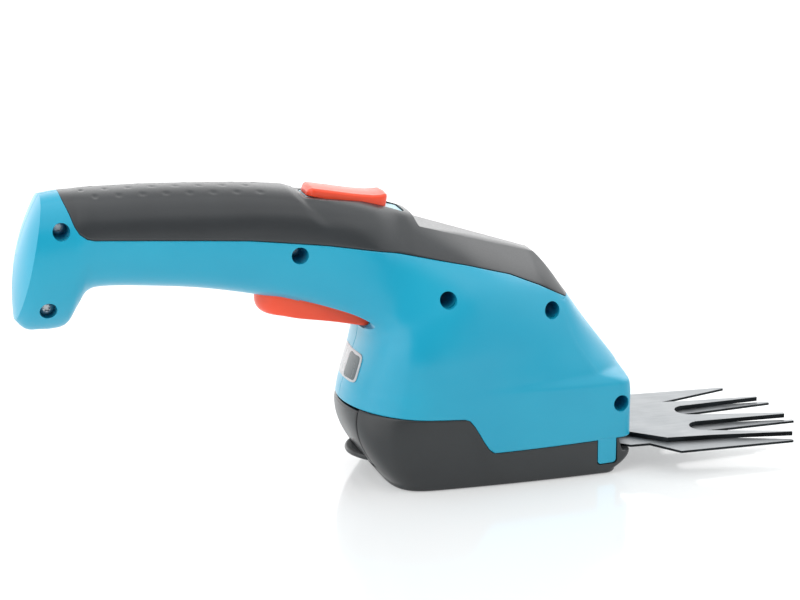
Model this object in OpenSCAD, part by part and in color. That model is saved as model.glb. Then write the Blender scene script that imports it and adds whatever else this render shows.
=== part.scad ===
// Cordless grass shears: moulded two-half housing with a soft grip cover, a lock slider,
// a trigger, a crank drive and a pair of toothed blades.
// X points forward along the blades, Z up, origin at the centre of the rest face.

/* [Shell] */
// Height from the rest face to the top of the grip
shell_h = 128; // [122:1:136]
// Length of the handle behind the body
handle_len = 132.9; // [124:0.1:145]
// Width of the handle
handle_w = 36; // [33:1:42]
// From the origin back to the body's rear wall
body_rear = 65.6; // [63:0.1:72]
// From the origin forward to the nose
nose_reach = 53.4; // [51:0.1:58]
// Width of the body at its widest
body_w = 74.6; // [72:0.1:84]
// Wall of the moulded shells
wall = 2.4; // [1.8:0.1:2.8]
// Crown of the handle's rear cap
cap_crown = 4.2; // [2:0.1:6]

/* [Base cover] */
// Width of the base cover at the floor
base_w = 68; // [62:1:72]
// Height of the seam at the body's rear
seam_rear_z = 33.2; // [30:0.1:36]
// Height of the seam beside the blades
seam_front_z = 15; // [14.2:0.1:17]
// Floor thickness of the base cover
base_floor = 2.2; // [1.6:0.1:3]
// Rounding where the base meets the floor
base_edge = 1.6; // [1.2:0.1:3]
// Height of the base's front lip under the blades
lip_z = 9.2; // [7:0.1:9.4]
// Height of the rest pad under the base
pad_h = 0.4; // [0.3:0.1:1.2]
// Width of the rear latch lever
latch_w = 37; // [32:1:42]
// Reach of the latch's thumb tab
tab_len = 6.2; // [4:0.1:9]
// Diameter of the latch pin
latch_pin_d = 2.5; // [2:0.1:3]

/* [Blades] */
// Cutting width across the outer tips
cut_w = 80; // [76:1:84]
// From the origin to the fixed blade's middle tips
lower_reach = 132.1; // [125:0.1:140]
// Thickness of the fixed blade
lower_t = 1; // [0.8:0.1:1.2]
// Thickness of the moving blade
upper_t = 1.8; // [1.4:0.1:1.8]
// From the pivot to the moving blade's middle tip
upper_reach = 97; // [92:0.5:99]
// Width across the moving blade's outer edges
upper_w = 52; // [46:1:54]
// Height of the fixed blade's underside
blade_z = 10; // [9.6:0.1:10.2]
// Gap between the two blades
blade_gap = 0.3; // [0.2:0.05:0.4]
// Swing of the moving blade off centre, as parked
rest_swing = 5.6; // [4:0.1:7]
// Diameter of the blade pivot
pivot_d = 8; // [7:0.5:9]

/* [Drive] */
// From the origin forward to the blade pivot
pivot_x = 33; // [31:0.5:35]
// From the blade pivot back to the crank
crank_arm = 24; // [22:0.5:26]
// Throw of the crank pin
crank_throw = 3.5; // [3:0.1:3.8]
// Diameter of the crank roller
roller_d = 7; // [6:0.1:7.4]
// Diameter of the crank pin
crank_pin_d = 4; // [3:0.1:4.5]
// Play of the roller in the moving blade's fork
fork_play = 0.45; // [0.4:0.05:0.6]
// Module of the gears
gear_m = 0.7; // [0.65:0.01:0.72]
// Teeth of a pinion
pinion_teeth = 14; // [13:1:15]
// Teeth of a wheel
wheel_teeth = 42; // [39:1:43]
// Face width of the gears
gear_face = 4.4; // [3.6:0.1:4.6]
// Diameter of the crank's hub
hub_d = 14; // [13:0.5:15]
// Thickness of the gear plate
plate_t = 3; // [2.4:0.1:3.2]
// Thickness of the motor plate
motor_plate_t = 2.5; // [2:0.1:3]
// Diameter of the motor can
motor_d = 27.6; // [24:0.1:29]
// Length of the motor can
motor_len = 32; // [28:0.5:34]
// Diameter of the motor shaft
shaft_d = 3.2; // [2.5:0.1:4]
// Radial running clearance of shafts and pins
run_fit = 0.05; // [0.03:0.01:0.08]

/* [Trigger and lock] */
// Width of the trigger
trigger_w = 20; // [17:0.5:21]
// Side gap between the trigger and its slot
trigger_gap = 0.6; // [0.5:0.1:1]
// Diameter of the trigger's hinge pin
trigger_pin_d = 3; // [2.5:0.1:4]
// Length of the lock slider
slider_len = 33.8; // [30:0.1:35]
// Width of the lock slider
slider_w = 15; // [13:0.5:17]
// Travel of the lock slider
slider_travel = 7; // [5:0.5:8]
// Slope of the slider's track, in degrees
track_slope = 12; // [10:0.5:14]
// Wire of the springs
spring_wire = 0.6; // [0.5:0.05:0.7]

/* [Power] */
// Diameter of the battery cell
cell_d = 18.4; // [16:0.1:19]
// Length of the battery cell
cell_len = 65.2; // [60:0.1:67]
// Outside diameter of the charge socket
socket_d = 9; // [8:0.1:10]
// Bore of the charge socket
socket_bore = 5.6; // [5:0.1:6]
// Length of the control board
board_len = 40; // [30:1:44]
// Width of the control board
board_w = 28; // [22:1:32]
// Thickness of the control board
board_t = 1.6; // [1:0.1:2]

/* [Fasteners] */
// Diameter of the screw wells
well_d = 7; // [6:0.1:7.6]
// Diameter of the housing screws
screw_d = 2.9; // [2.5:0.1:3.2]
// Diameter of the screw heads
head_d = 5.6; // [5:0.1:5.9]
// Depth of a screw seat from the parting plane
seat_y = 6; // [5:0.1:7]

/* [Hidden] */
// overrun of cuts
over = 1;
// smallest air between pieces
air = 0.4;
// wall round a screw
boss_wall = 0.95;
// metal sheet
sheet_t = 0.5;
// rib of the mouldings
rib_t = 3;
// plate screws
plate_screw_d = 3;
plate_head_d = 5.4;
plate_head_h = 1.8;
// nut and bolt of the blade pivot
bolt_head_d = 13;
bolt_head_h = 2.2;
nut_d = 11;
nut_h = 4.5;
stud_d = 6;
// spacer between the moving blade and the gear plate
washer_d = 15;
washer_air = 0.1;
// idler axle and the crank's upper journal
axle_d = 4;
journal_d = 5;
// bronze bush of the crank hub
bush_wall = 1.6;
bush_flange = 1.6;
bush_flange_h = 1.4;
// gear layout
mesh_play = 0.1;
backlash = 0.2;
step_air = 0.9;
// posts between the gear plate and the motor plate
post_d = 7;
// posts that carry the fixed blade
blade_post_d = 8;
// pillars of the housings that carry the gear plate
pillar_d = 8;
// label plate on the body's rear corner
label_t = 0.5;
label_lift = 0.04;
// sinking of a rib into its wall
sink = 1.2;
// curve fineness
round_fn = 48;

// outline of the shell: underside x and z, top x and z, width, roundness, taper below,
// share of the body plan, front width; x below zero runs along the handle, above along the body
station_shares = [
    [-1.000, 0.596, -0.916, 0.990, -0.03, 2.3, 0.34, 0, 0.5],
    [-0.965, 0.564, -0.876, 0.996, 0.00, 2.3, 0.34, 0, 0.5],
    [-0.895, 0.561, -0.840, 0.998, 0.00, 2.4, 0.32, 0, 0.5],
    [-0.848, 0.575, -0.820, 0.998, 0.00, 2.4, 0.26, 0, 0.5],
    [-0.816, 0.630, -0.801, 0.999, 0.00, 2.4, 0.16, 0, 0.5],
    [-0.786, 0.678, -0.774, 1.000, 0.00, 2.4, 0.08, 0, 0.5],
    [-0.733, 0.690, -0.718, 1.000, 0.00, 2.4, 0.06, 0, 0.5],
    [-0.597, 0.681, -0.586, 0.999, 0.00, 2.4, 0.06, 0, 0.5],
    [-0.439, 0.663, -0.424, 0.992, 0.01, 2.4, 0.06, 0, 0.5],
    [-0.274, 0.632, -0.251, 0.978, 0.04, 2.6, 0.06, 0, 0.5],
    [-0.138, 0.598, -0.078, 0.954, 0.10, 2.8, 0.05, 0.00, 0.5],
    [-0.033, 0.558, 0.114, 0.910, 0.23, 2.9, 0.04, 0.05, 0.5],
    [0.039, 0.526, 0.324, 0.845, 0.44, 2.9, 0.02, 0.15, 0.5],
    [0.067, 0.502, 0.526, 0.784, 0.67, 2.8, 0.00, 0.32, 0.54],
    [0.066, 0.469, 0.680, 0.722, 0.85, 2.8, 0.00, 0.55, 0.60],
    [0.056, 0.436, 0.768, 0.615, 0.95, 2.8, 0.00, 0.8, 0.66],
    [0.045, 0.402, 0.848, 0.512, 1.00, 2.8, 0.00, 0.95, 0.71],
    [0.032, 0.366, 0.925, 0.418, 1.00, 2.8, 0.00, 1, 0.75],
    [0.020, 0.333, 0.982, 0.344, 1.00, 2.8, 0.00, 1, 0.78],
    [0.010, 0.306, 0.999, 0.286, 1.00, 2.8, 0.00, 1, 0.79],
    [0.004, 0.280, 1.000, 0.215, 1.00, 2.8, 0.00, 1, 0.79],
];
// body plan: rounded tail, tapering flanks, nose corner
tail_share = 0.25;
corner_share = 0.05;
corner_w_share = 0.14;
plan_q_shares = [0.35, 0.75, 0.9];
// seam between the housings and the grip cover
seam_shares = [
    [-0.874, 1.05], [-0.857, 0.985], [-0.842, 0.947], [-0.830, 0.910], [-0.816, 0.885], [-0.795, 0.869],
    [-0.773, 0.863], [-0.609, 0.852], [-0.306, 0.832], [-0.063, 0.803], [0.165, 0.769], [0.405, 0.719],
    [0.560, 0.678], [0.676, 0.632], [0.764, 0.590], [0.84, 0.54],
];
// rows of the shell along its length; the cover starts and ends on two of them
row_shares = [
    0, 0.5, 1, 1.38, 1.4, 1.6, 1.8, 2, 2.25, 2.5, 2.75, 3, 3.5, 4, 4.5, 5, 5.5, 6, 7, 8, 9, 9.5,
    10, 10.5, 11, 11.5, 12, 12.5, 13, 13.5, 14, 14.5, 15, 15.23, 15.25, 15.6, 16, 16.5, 17, 17.5, 18,
    18.5, 19, 19.5, 20,
];
cover_row_shares = [1.39, 15.24];
cap_shares = [0, 0.3, 0.62, 0.86];
col_shares = [
    0, 0.05, 0.1, 0.15, 0.2, 0.25, 0.3, 0.35, 0.39, 0.415, 0.43, 0.45, 0.468, 0.485, 0.51, 0.56, 0.62, 0.68,
    0.74, 0.78, 0.82, 0.86, 0.9, 0.95, 1,
];
cover_cols = 8;
// flat deck of the cover in front of the slider, rear then front
deck_shares = [[0.224, 0.845], [0.672, 0.718]];
deck_step_shares = [0.262, 0.874];
// width of the deck at its ends, and the spread of the slopes beside it
deck_rear_w = 29;
deck_front_w = 11;
roof_shares = [0.75, 1.8];
roof_x_shares = [0.1, 0.45, 0.12];
// housing screws on the right side
screw_shares = [
    [-0.869, 0.894], [-0.911, 0.642], [-0.153, 0.776], [0.320, 0.623], [0.704, 0.556], [0.955, 0.233],
];
// side view of the trigger, seen part first
trigger_shares = [
    [-0.2640, 0.6350], [-0.2636, 0.6182], [-0.2625, 0.5990], [-0.2555, 0.5810], [-0.2420, 0.5686],
    [-0.2198, 0.5636], [-0.1387, 0.5506], [-0.0441, 0.5352], [0.0213, 0.5223], [0.0636, 0.5145],
    [0.0830, 0.5145], [0.0900, 0.5234], [0.0860, 0.5343], [0.056, 0.62], [-0.002, 0.645], [-0.10, 0.656],
    [-0.19, 0.675], [-0.258, 0.69],
];
trigger_slot_shares = [
    [-0.2696, 0.60], [-0.2696, 0.72], [0.0965, 0.60], [0.0965, 0.507], [0.066, 0.505], [0.0, 0.48],
];
// hollow of the flanks beside the trigger
trigger_hollow_shares = [
    [-0.1418, 0.6169], [-0.0792, 0.5998], [-0.0006, 0.5746], [0.0416, 0.5586], [0.0663, 0.5461],
    [0.0815, 0.5358], [0.0868, 0.5265], [0.0825, 0.5169], [0.066, 0.505], [0.0, 0.48], [-0.15, 0.55],
];
trigger_pivot_shares = [0.018, 0.602];
trigger_spring_shares = [-0.222, 0.69];
// switch, spring seat, cell and board places
switch_shares = [-0.06, 0.70];
cell_shares = [-0.5573, 0.838];
cell_rest_shares = [-0.70, -0.40];
board_shares = [0.25, 0.66];
socket_share = -0.925;
// slider: place of the track, saddle top as shares of length and height
track_shares = [0.047, 0.9071];
saddle_h = 8.4;
saddle_shares = [
    [0, 0.03], [0, 0.289], [0.02, 0.389], [0.06, 0.429], [0.2, 0.439], [0.42, 0.459], [0.62, 0.479],
    [0.8, 0.539], [0.9, 0.62], [0.95, 0.69], [0.98, 0.68], [1, 0.6], [1, 0.03],
];
crown_share = 0.87;
// flat rim of the cover round the track: heights at its rear and beside the slider
bezel_h = [0.05, 1.85];
bezel_x_share = 0.06;
// fixed blade: half outline along its length and half cutting width
lower_root_x = 15;
lower_shares = [
    [0, 0.35], [0.05, 0.62], [0.295, 0.62], [0.325, 0.70], [0.397, 0.703], [0.473, 1.04], [0.905, 1.01],
    [0.905, 0.97], [0.625, 0.672],
];
lower_mid_shares = [[0.625, 0.445], [1, 0.365], [1, 0.322], [0.625, 0.172]];
lower_notch_share = 0.60;
// moving blade: half outline along its reach and half width
upper_shares = [
    [0, 0.42], [0.256, 0.55], [0.398, 0.975], [0.605, 0.955], [0.955, 1.01], [0.955, 0.965], [0.60, 0.71],
];
upper_mid_shares = [[0.60, 0.185], [1, 0.036]];
upper_notch_share = 0.535;
// gear plate half outline, as shares of the body
plate_shares = [
    [0.195, 0.40], [0.205, 0.66], [0.218, 0.79], [0.285, 0.79], [0.34, 0.62], [0.63, 0.62], [0.665, 0.8],
    [0.735, 0.8], [0.79, 0.66], [0.93, 0.60],
];
pillar_shares = [[0.252, 0.68], [0.70, 0.69]];
blade_post_shares = [0.75, 0.50];

function lerp(a, b, t) = a + (b - a) * t;
function px(s) = s < 0 ? -body_rear + s * handle_len : -body_rear + s * (body_rear + nose_reach);
function pz(s) = s * shell_h;
function side_points(shares) = [for (p = shares) [px(p[0]), pz(p[1])]];
function spline(a, b, c, d, t) =
    0.5 * (2 * b + (c - a) * t + (2 * a - 5 * b + 4 * c - d) * t * t + (3 * b - a - 3 * c + d) * t * t * t);

stations = [for (r = station_shares)
    [px(r[0]), pz(r[1]), px(r[2]), pz(r[3]), lerp(handle_w, body_w, r[4]) / 2, r[5], r[6], r[7], r[8]]];
last = len(stations) - 1;
function station(u) =
    let (k = min(floor(u), last - 1), t = u - k)
    [for (j = [0:len(stations[0]) - 1])
        spline(stations[max(k - 1, 0)][j], stations[k][j], stations[k + 1][j], stations[min(k + 2, last)][j], t)];

// one section: place along the chord and share of the half width, q from the underside to the top
function oval(q, n) =
    [0.5 - 0.5 * sign(cos(180 * q)) * pow(abs(cos(180 * q)), 2 / n), pow(max(sin(180 * q), 0), 2 / n)];
function plan(q, f, n = 2) =
    q < plan_q_shares[0] ?
        let (a = 90 * q / plan_q_shares[0]) [tail_share * (1 - pow(cos(a), 2 / n)), pow(sin(a), 2 / n)]
    : q < plan_q_shares[1] ?
        let (t = (q - plan_q_shares[0]) / (plan_q_shares[1] - plan_q_shares[0]))
        [lerp(tail_share, 1 - corner_share, t), 1 - (1 - f) * t * t]
    : q < plan_q_shares[2] ?
        let (a = 90 * (q - plan_q_shares[1]) / (plan_q_shares[2] - plan_q_shares[1]))
        [1 - corner_share * (1 - sin(a)), f - corner_w_share * (1 - cos(a))]
    : [1, (f - corner_w_share) * (1 - q) / (1 - plan_q_shares[2])];
function section(r, q) =
    let (o = oval(q, r[5]), p = plan(q, r[8]), s = lerp(o[0], p[0], r[7]), w = lerp(o[1], p[1], r[7]))
    [s, w * (1 - r[6] * pow(max(0, 1 - 2 * s), 2))];

// flat deck line of the cover
deck_a = [px(deck_shares[0][0]), pz(deck_shares[0][1])];
deck_b = [px(deck_shares[1][0]), pz(deck_shares[1][1])];
function deck_z(x) = lerp(deck_a[1], deck_b[1], (x - deck_a[0]) / (deck_b[0] - deck_a[0]));

// slopes of the cover beside the deck: half width allowed at a place of the side view
function ease(x, a, b) = let (t = min(max((x - a) / (b - a), 0), 1)) t * t * (3 - 2 * t);
function roof_y(x, z) =
    let (
        f = (x - deck_a[0]) / (deck_b[0] - deck_a[0]),
        edge = lerp(deck_rear_w, deck_front_w, min(max(f, 0), 1)) / 2,
        fall = lerp(roof_shares[0], roof_shares[1], ease(x, px(roof_x_shares[0]), px(roof_x_shares[1])))
    )
    max(edge + fall * (deck_z(x) - z) + 2 * max(px(roof_x_shares[2]) - x, 0), deck_front_w / 8);
function soft_min(a, b) = a <= 0 ? 0 : a * b / pow(pow(a, 6) + pow(b, 6), 1 / 6);
// a point of the shell on the right side, d inside the outer face
function skin(u, q, d = 0) =
    let (
        r = station(u), k = section(r, q), long = norm([r[2] - r[0], r[3] - r[1]]), e = d / long,
        s = lerp(e, 1 - e, k[0]), z = lerp(r[1], r[3], s), x = lerp(r[0], r[2], s),
        y = u < 10 ? k[1] * (r[4] - d) : soft_min(k[1] * (r[4] - d), roof_y(x, z + d) - d / 2)
    )
    [x, -y, d > 0 ? min(z, deck_z(x) - d + max(deck_a[0] - x, 0)) : z];
// a point of the crowned rear cap, c from the rim to the middle
function cap(c, q, d = 0) =
    let (
        r = station(0), p = skin(0, q, d),
        mid = [(r[0] + r[2]) / 2, 0, (r[1] + r[3]) / 2], m = lerp(p, mid, c),
        way = [r[3] - r[1], 0, r[0] - r[2]] / norm([r[3] - r[1], r[0] - r[2]]),
        rise = cap_crown * (1 - pow(1 - c, 2)) - (c > 0 ? d : 0)
    )
    m - way * rise;

// seam with the base cover
seam_x_shares = [0.37, 0.48];
seam_slope_share = 0.08;
function seam_drop(x) =
    let (
        a = px(seam_x_shares[0]), b = px(seam_x_shares[1]), t = min(max((x - a) / (b - a), 0), 1),
        rear = seam_rear_z - seam_slope_share * seam_rear_z * (x + body_rear) / (a + body_rear)
    )
    lerp(x < a ? rear : seam_rear_z * (1 - seam_slope_share), seam_front_z, t * t * (3 - 2 * t));
function foot(q, d = 0) =
    let (
        r = station(last), k = section(r, q), x0 = -body_rear + d, x1 = nose_reach - d,
        x = lerp(x0, x1, k[0])
    )
    [x, -k[1] * (r[4] - d), seam_drop(x)];

// seam with the cover
seam_line = side_points(seam_shares);
function over_seam(u, q) = let (p = skin(u, q)) p[2] > lookup(p[0], seam_line);
function seam_q(u, a = 0.3, b = 1, n = 16) =
    n == 0 ? b : let (m = (a + b) / 2) over_seam(u, m) ? seam_q(u, a, m, n - 1) : seam_q(u, m, b, n - 1);
function top_q(u) = u < cover_row_shares[0] || u > cover_row_shares[1] ? 1 : seam_q(u);

// half width of the shell at a place of its side view
function ahead(u, x, z) = let (r = station(u)) (x - r[0]) * (r[3] - r[1]) - (z - r[1]) * (r[2] - r[0]);
function find_u(x, z, a = 0, b = 20, n = 16) =
    n == 0 ? (a + b) / 2
    : let (m = (a + b) / 2) ahead(m, x, z) > 0 ? find_u(x, z, m, b, n - 1) : find_u(x, z, a, m, n - 1);
function find_q(r, s, a = 0, b = 1, n = 14) =
    n == 0 ? (a + b) / 2
    : let (m = (a + b) / 2) section(r, m)[0] < s ? find_q(r, s, m, b, n - 1) : find_q(r, s, a, m, n - 1);
function side_y(x, z) =
    let (
        u = find_u(x, z), r = station(u), c = [r[2] - r[0], r[3] - r[1]],
        s = ((x - r[0]) * c[0] + (z - r[1]) * c[1]) / (c * c)
    )
    s <= 0 || s >= 1 ? 0 : -skin(u, find_q(r, s))[1];
function rim_y(x, z, rad) = min([for (a = [0:45:315]) side_y(x + rad * cos(a), z + rad * sin(a))]) - air;
under_line = [for (k = [0:13]) [stations[k][0], stations[k][1]]];
function under_z(x) = lookup(x, under_line);

// closed solid between an outer and an inner grid of points
function flat3(g) = [for (r = g) for (p = r) p];
function keep(pts, f) = norm(cross(pts[f[1]] - pts[f[0]], pts[f[2]] - pts[f[0]])) > 1e-7;
function quad(a, b, c, d, left = false) = left ? [[a, b, d], [b, c, d]] : [[a, b, c], [a, c, d]];
module slab(outer, inner) {
    n = len(outer);
    m = len(outer[0]);
    pts = concat(flat3(outer), flat3(inner));
    h = n * m;
    faces = [
        for (i = [0:n - 2], j = [0:m - 2])
            each quad(i * m + j, i * m + j + 1, (i + 1) * m + j + 1, (i + 1) * m + j),
        for (i = [0:n - 2], j = [0:m - 2])
            each quad(h + i * m + j, h + (i + 1) * m + j, h + (i + 1) * m + j + 1, h + i * m + j + 1),
        for (i = [0:n - 2]) each quad(i * m, (i + 1) * m, h + (i + 1) * m, h + i * m),
        for (i = [0:n - 2])
            each quad(i * m + m - 1, h + i * m + m - 1, h + (i + 1) * m + m - 1, (i + 1) * m + m - 1),
        for (j = [0:m - 2]) each quad(j, h + j, h + j + 1, j + 1),
        for (j = [0:m - 2])
            each quad((n - 1) * m + j, (n - 1) * m + j + 1, h + (n - 1) * m + j + 1, h + (n - 1) * m + j),
    ];
    polyhedron(pts, [for (f = faces) if (keep(pts, f)) f]);
}
// round tube along points
module tube(pts, rad, up, sides = 6) {
    n = len(pts);
    ring = [for (i = [0:n - 1])
        let (
            t = pts[min(i + 1, n - 1)] - pts[max(i - 1, 0)], a = cross(t, up) / norm(cross(t, up)),
            b = cross(a, t) / norm(cross(a, t))
        )
        [for (k = [0:sides - 1]) pts[i] + rad * (cos(360 * k / sides) * a + sin(360 * k / sides) * b)]];
    all = flat3(ring);
    faces = [
        for (i = [0:n - 2], k = [0:sides - 1])
            each quad(i * sides + k, i * sides + (k + 1) % sides, (i + 1) * sides + (k + 1) % sides,
                (i + 1) * sides + k),
        for (k = [1:sides - 2]) [0, k + 1, k],
        for (k = [1:sides - 2]) [(n - 1) * sides, (n - 1) * sides + k, (n - 1) * sides + k + 1],
    ];
    polyhedron(all, faces);
}
// compression spring along Z with flat ends
module coil(rad, long, turns, wire) {
    steps = turns * 8;
    pts = [for (i = [0:steps])
        let (a = 360 * i / 8, t = min(max((i - 6) / (steps - 12), 0), 1), edge = wire * 0.62)
        [rad * cos(a), rad * sin(a),
            wire / 2 + edge * 0.75 * min(i, 6) / 3 + (long - wire - 3 * edge) * t
                + edge * 0.75 * max(i - steps + 6, 0) / 3]];
    gap = min([for (i = [0:steps - 6], j = [i + 6:min(i + 12, steps)]) norm(pts[i] - pts[j])]) - wire;
    echo(spring_gap = gap);
    tube(pts, wire / 2, [0, 0, 1]);
}
// place and turn a side-view outline so that it is drawn in X and Z, centred on Y
module across(w) {
    rotate([90, 0, 0])
        translate([0, 0, -w / 2])
            linear_extrude(w)
                children();
}
// round bar along Y
module bar(x, z, d, y0, y1) {
    translate([x, y1, z])
        rotate([90, 0, 0])
            cylinder(d = d, h = y1 - y0, $fn = round_fn);
}
module block(lo, hi) {
    translate(lo)
        cube(hi - lo);
}

// drive places
crank_x = pivot_x - crank_arm;
pinion_r = gear_m * pinion_teeth / 2;
wheel_r = gear_m * wheel_teeth / 2;
gear_step = pinion_r + wheel_r + mesh_play;
idler_x = crank_x - gear_step;
motor_x = idler_x - gear_step;
lower_top = blade_z + lower_t;
upper_z = lower_top + blade_gap;
upper_top = upper_z + upper_t;
plate_z = upper_top + washer_air + sheet_t * 4;
plate_top = plate_z + plate_t;
gear_z = plate_top + bush_flange_h + air;
gear2_z = gear_z + gear_face + step_air;
motor_plate_z = gear2_z + gear_face + step_air * 2;
motor_z = motor_plate_z + motor_plate_t;
hub_bore = hub_d + 2 * run_fit;
bush_d = hub_d + 2 * bush_wall;
crank_rest = 180 - rest_crank(rest_swing);
function swing_at(a) = atan(crank_throw * sin(a) / (crank_arm + crank_throw * cos(a)));
function rest_crank(s, a = 0, b = 90, n = 20) =
    n == 0 ? (a + b) / 2
    : let (m = (a + b) / 2) swing_at(m) < s ? rest_crank(s, m, b, n - 1) : rest_crank(s, a, m, n - 1);
pillar_pts = [for (p = pillar_shares, s = [-1, 1]) [px(p[0]), s * p[1] * body_w / 2]];
blade_post_pts = [for (s = [-1, 1]) [px(blade_post_shares[0]), s * blade_post_shares[1] * body_w / 2]];
plate_posts = [
    for (s = [-1, 1]) [idler_x + wheel_r * 0.45, s * (wheel_r + post_d)],
    for (s = [-1, 1]) [motor_x - wheel_r * 0.9, s * (wheel_r + post_d / 2)],
];

// gear outline with involute flanks
function inv(a) = tan(a) * 180 / PI - a;
function flank(rad, base, half) = half - (rad > base ? inv(acos(base / rad)) : 0);
module gear2d(teeth, phase) {
    r = gear_m * teeth / 2;
    base = r * cos(20);
    tip = r + 0.8 * gear_m;
    root = r - 1.1 * gear_m;
    half = 90 / teeth - backlash / 4 / r * 180 / PI + inv(20);
    rads = [root, max(base, root + 0.1 * gear_m), (base + tip) / 2, tip];
    polygon([for (k = [0:teeth - 1]) each [
        for (i = [0:3])
            let (a = phase + 360 * k / teeth - flank(rads[i], base, half)) rads[i] * [cos(a), sin(a)],
        for (i = [3:-1:0])
            let (a = phase + 360 * k / teeth + flank(rads[i], base, half)) rads[i] * [cos(a), sin(a)],
    ]]);
}

// shell of one half, right side
module half_shell() {
    outer = concat(
        [for (c = [len(cap_shares) - 1:-1:0]) [for (q = col_shares) cap(1 - cap_shares[c], q)]],
        [for (u = row_shares) let (t = top_q(u)) [for (q = col_shares) skin(u, t * q)]],
        [[for (q = col_shares) foot(q)]]
    );
    inner = concat(
        [for (c = [len(cap_shares) - 1:-1:0]) [for (q = col_shares) cap(1 - cap_shares[c], q, wall)]],
        [for (u = row_shares) let (t = top_q(u)) [for (q = col_shares) skin(u, t * q, wall)]],
        [[for (q = col_shares) foot(q, wall)]]
    );
    slab(reverse_rows(outer), reverse_rows(inner));
}
// the cap's rows run from its middle to its rim
function reverse_rows(g) =
    concat([for (i = [len(cap_shares) - 1:-1:0]) g[i]], [for (i = [len(cap_shares):len(g) - 1]) g[i]]);

screw_pts = side_points(screw_shares);
boss_d = well_d + 2 * boss_wall;
trigger_pivot = [px(trigger_pivot_shares[0]), pz(trigger_pivot_shares[1])];
cell_x = px(cell_shares[0]) + cell_len / 2;
cell_z = pz(cell_shares[1]);
switch_at = [px(switch_shares[0]), pz(switch_shares[1])];
switch_l = 13;
switch_h = 6.5;
switch_t = 6;
plunger_d = 2.4;
plunger_out = 2.2;
plunger_x = switch_at[0] - switch_l / 4;
nib_air = 0.3;
coil_at = [px(trigger_spring_shares[0]), pz(trigger_spring_shares[1])];
coil_long = 10;
coil_r = 2.4;
board_at = [px(board_shares[0]), pz(board_shares[1])];
socket_x = px(socket_share);
socket_in = 1;
socket_z = under_z(socket_x) + socket_in;
socket_h = 5.4;

// ribs, bosses and pillars of a half, on the right side
module half_ribs() {
    for (p = screw_pts)
        bar(p[0], p[1], boss_d, -rim_y(p[0], p[1], boss_d / 2), 0);
    bar(trigger_pivot[0], trigger_pivot[1], trigger_pin_d + 2 * rib_t,
        -rim_y(trigger_pivot[0], trigger_pivot[1], trigger_pin_d / 2 + rib_t),
        -trigger_w / 2 - trigger_gap);
    for (s = cell_rest_shares) {
        x = px(s);
        block([x - rib_t / 2, -cell_d * 0.4, under_z(x) + sink], [x + rib_t / 2, 0, cell_z]);
    }
    seat_z = coil_at[1] + coil_long;
    block([coil_at[0] - rib_t, -side_y(coil_at[0], seat_z + rib_t / 2) + sink, seat_z],
        [coil_at[0] + rib_t, 0, seat_z + rib_t]);
    switch_wall = side_y(switch_at[0], switch_at[1] + switch_h / 2);
    block([switch_at[0] - rib_t, sink - switch_wall, switch_at[1] + sheet_t],
        [switch_at[0] + rib_t, -switch_t / 2, switch_at[1] + switch_h - sheet_t]);
    for (p = pillar_pts)
        if (p[1] < 0) {
            top = seam_rear_z + pillar_d * 2;
            translate([p[0], p[1], plate_top])
                cylinder(d = pillar_d, h = top - plate_top, $fn = round_fn);
            block([p[0] - rib_t / 2, -side_y(p[0], top) + sink, seam_rear_z + rib_t],
                [p[0] + rib_t / 2, p[1], top]);
        }
    block([board_at[0] + board_len / 2 - rib_t, -side_y(board_at[0] + board_len / 2, board_at[1]) + sink,
        board_at[1] - rib_t], [board_at[0] + board_len / 2, -board_w * 0.3, board_at[1]]);
    block([board_at[0] - board_len / 2, -side_y(board_at[0] - board_len / 2, board_at[1]) + sink,
        board_at[1] - rib_t], [board_at[0] - board_len / 2 + rib_t, -board_w * 0.3, board_at[1]]);
}
// openings shared by both halves, right side
module half_cuts() {
    intersection() {
        across(trigger_w + 2 * trigger_gap)
            polygon(side_points(trigger_slot_shares));
        trigger_plan(trigger_gap);
    }
    across(body_w)
        polygon(side_points(trigger_hollow_shares));
    translate([cell_x - cell_len - sheet_t - air, 0, cell_z])
        rotate([0, 90, 0])
            cylinder(d = cell_d, h = cell_len + 2 * (sheet_t + air), $fn = round_fn);
    bar(trigger_pivot[0], trigger_pivot[1], trigger_pin_d, -pin_reach, over);
    translate([socket_x, 0, socket_z - socket_in - over])
        cylinder(d = socket_d, h = socket_h + socket_in + over, $fn = round_fn);
    for (p = pillar_pts)
        translate([p[0], p[1], plate_top - over])
            cylinder(d = plate_screw_d, h = plate_screw_d * 3 + over, $fn = round_fn);
}
pin_reach = trigger_w / 2 + trigger_gap + rib_t;
// tongue of a housing that laps the base
tongue_shares = [0.866, 0.937];
tongue_z = 4.8;
tongue_in = 0.1;
tongue_t = wall * 0.7;
function foot_y(x) =
    let (
        p = [for (j = [0:60]) foot(j / 60)],
        i = [for (k = [1:60]) if (p[k][0] > x && p[k - 1][0] <= x) k][0]
    )
    -lerp(p[i - 1][1], p[i][1], (x - p[i - 1][0]) / (p[i][0] - p[i - 1][0]));
module tongue(grow = 0) {
    xs = [px(tongue_shares[0]) - grow, px(tongue_shares[1]) + grow];
    out = grow > 0 ? -over : tongue_in;
    translate([0, 0, tongue_z - grow])
        linear_extrude(seam_front_z - tongue_z + grow + (grow > 0 ? over : wall))
            polygon(concat([for (x = xs) [x, out - foot_y(x)]],
                [for (i = [1, 0]) [xs[i], tongue_in + tongue_t + grow - foot_y(xs[i])]]));
}

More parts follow.
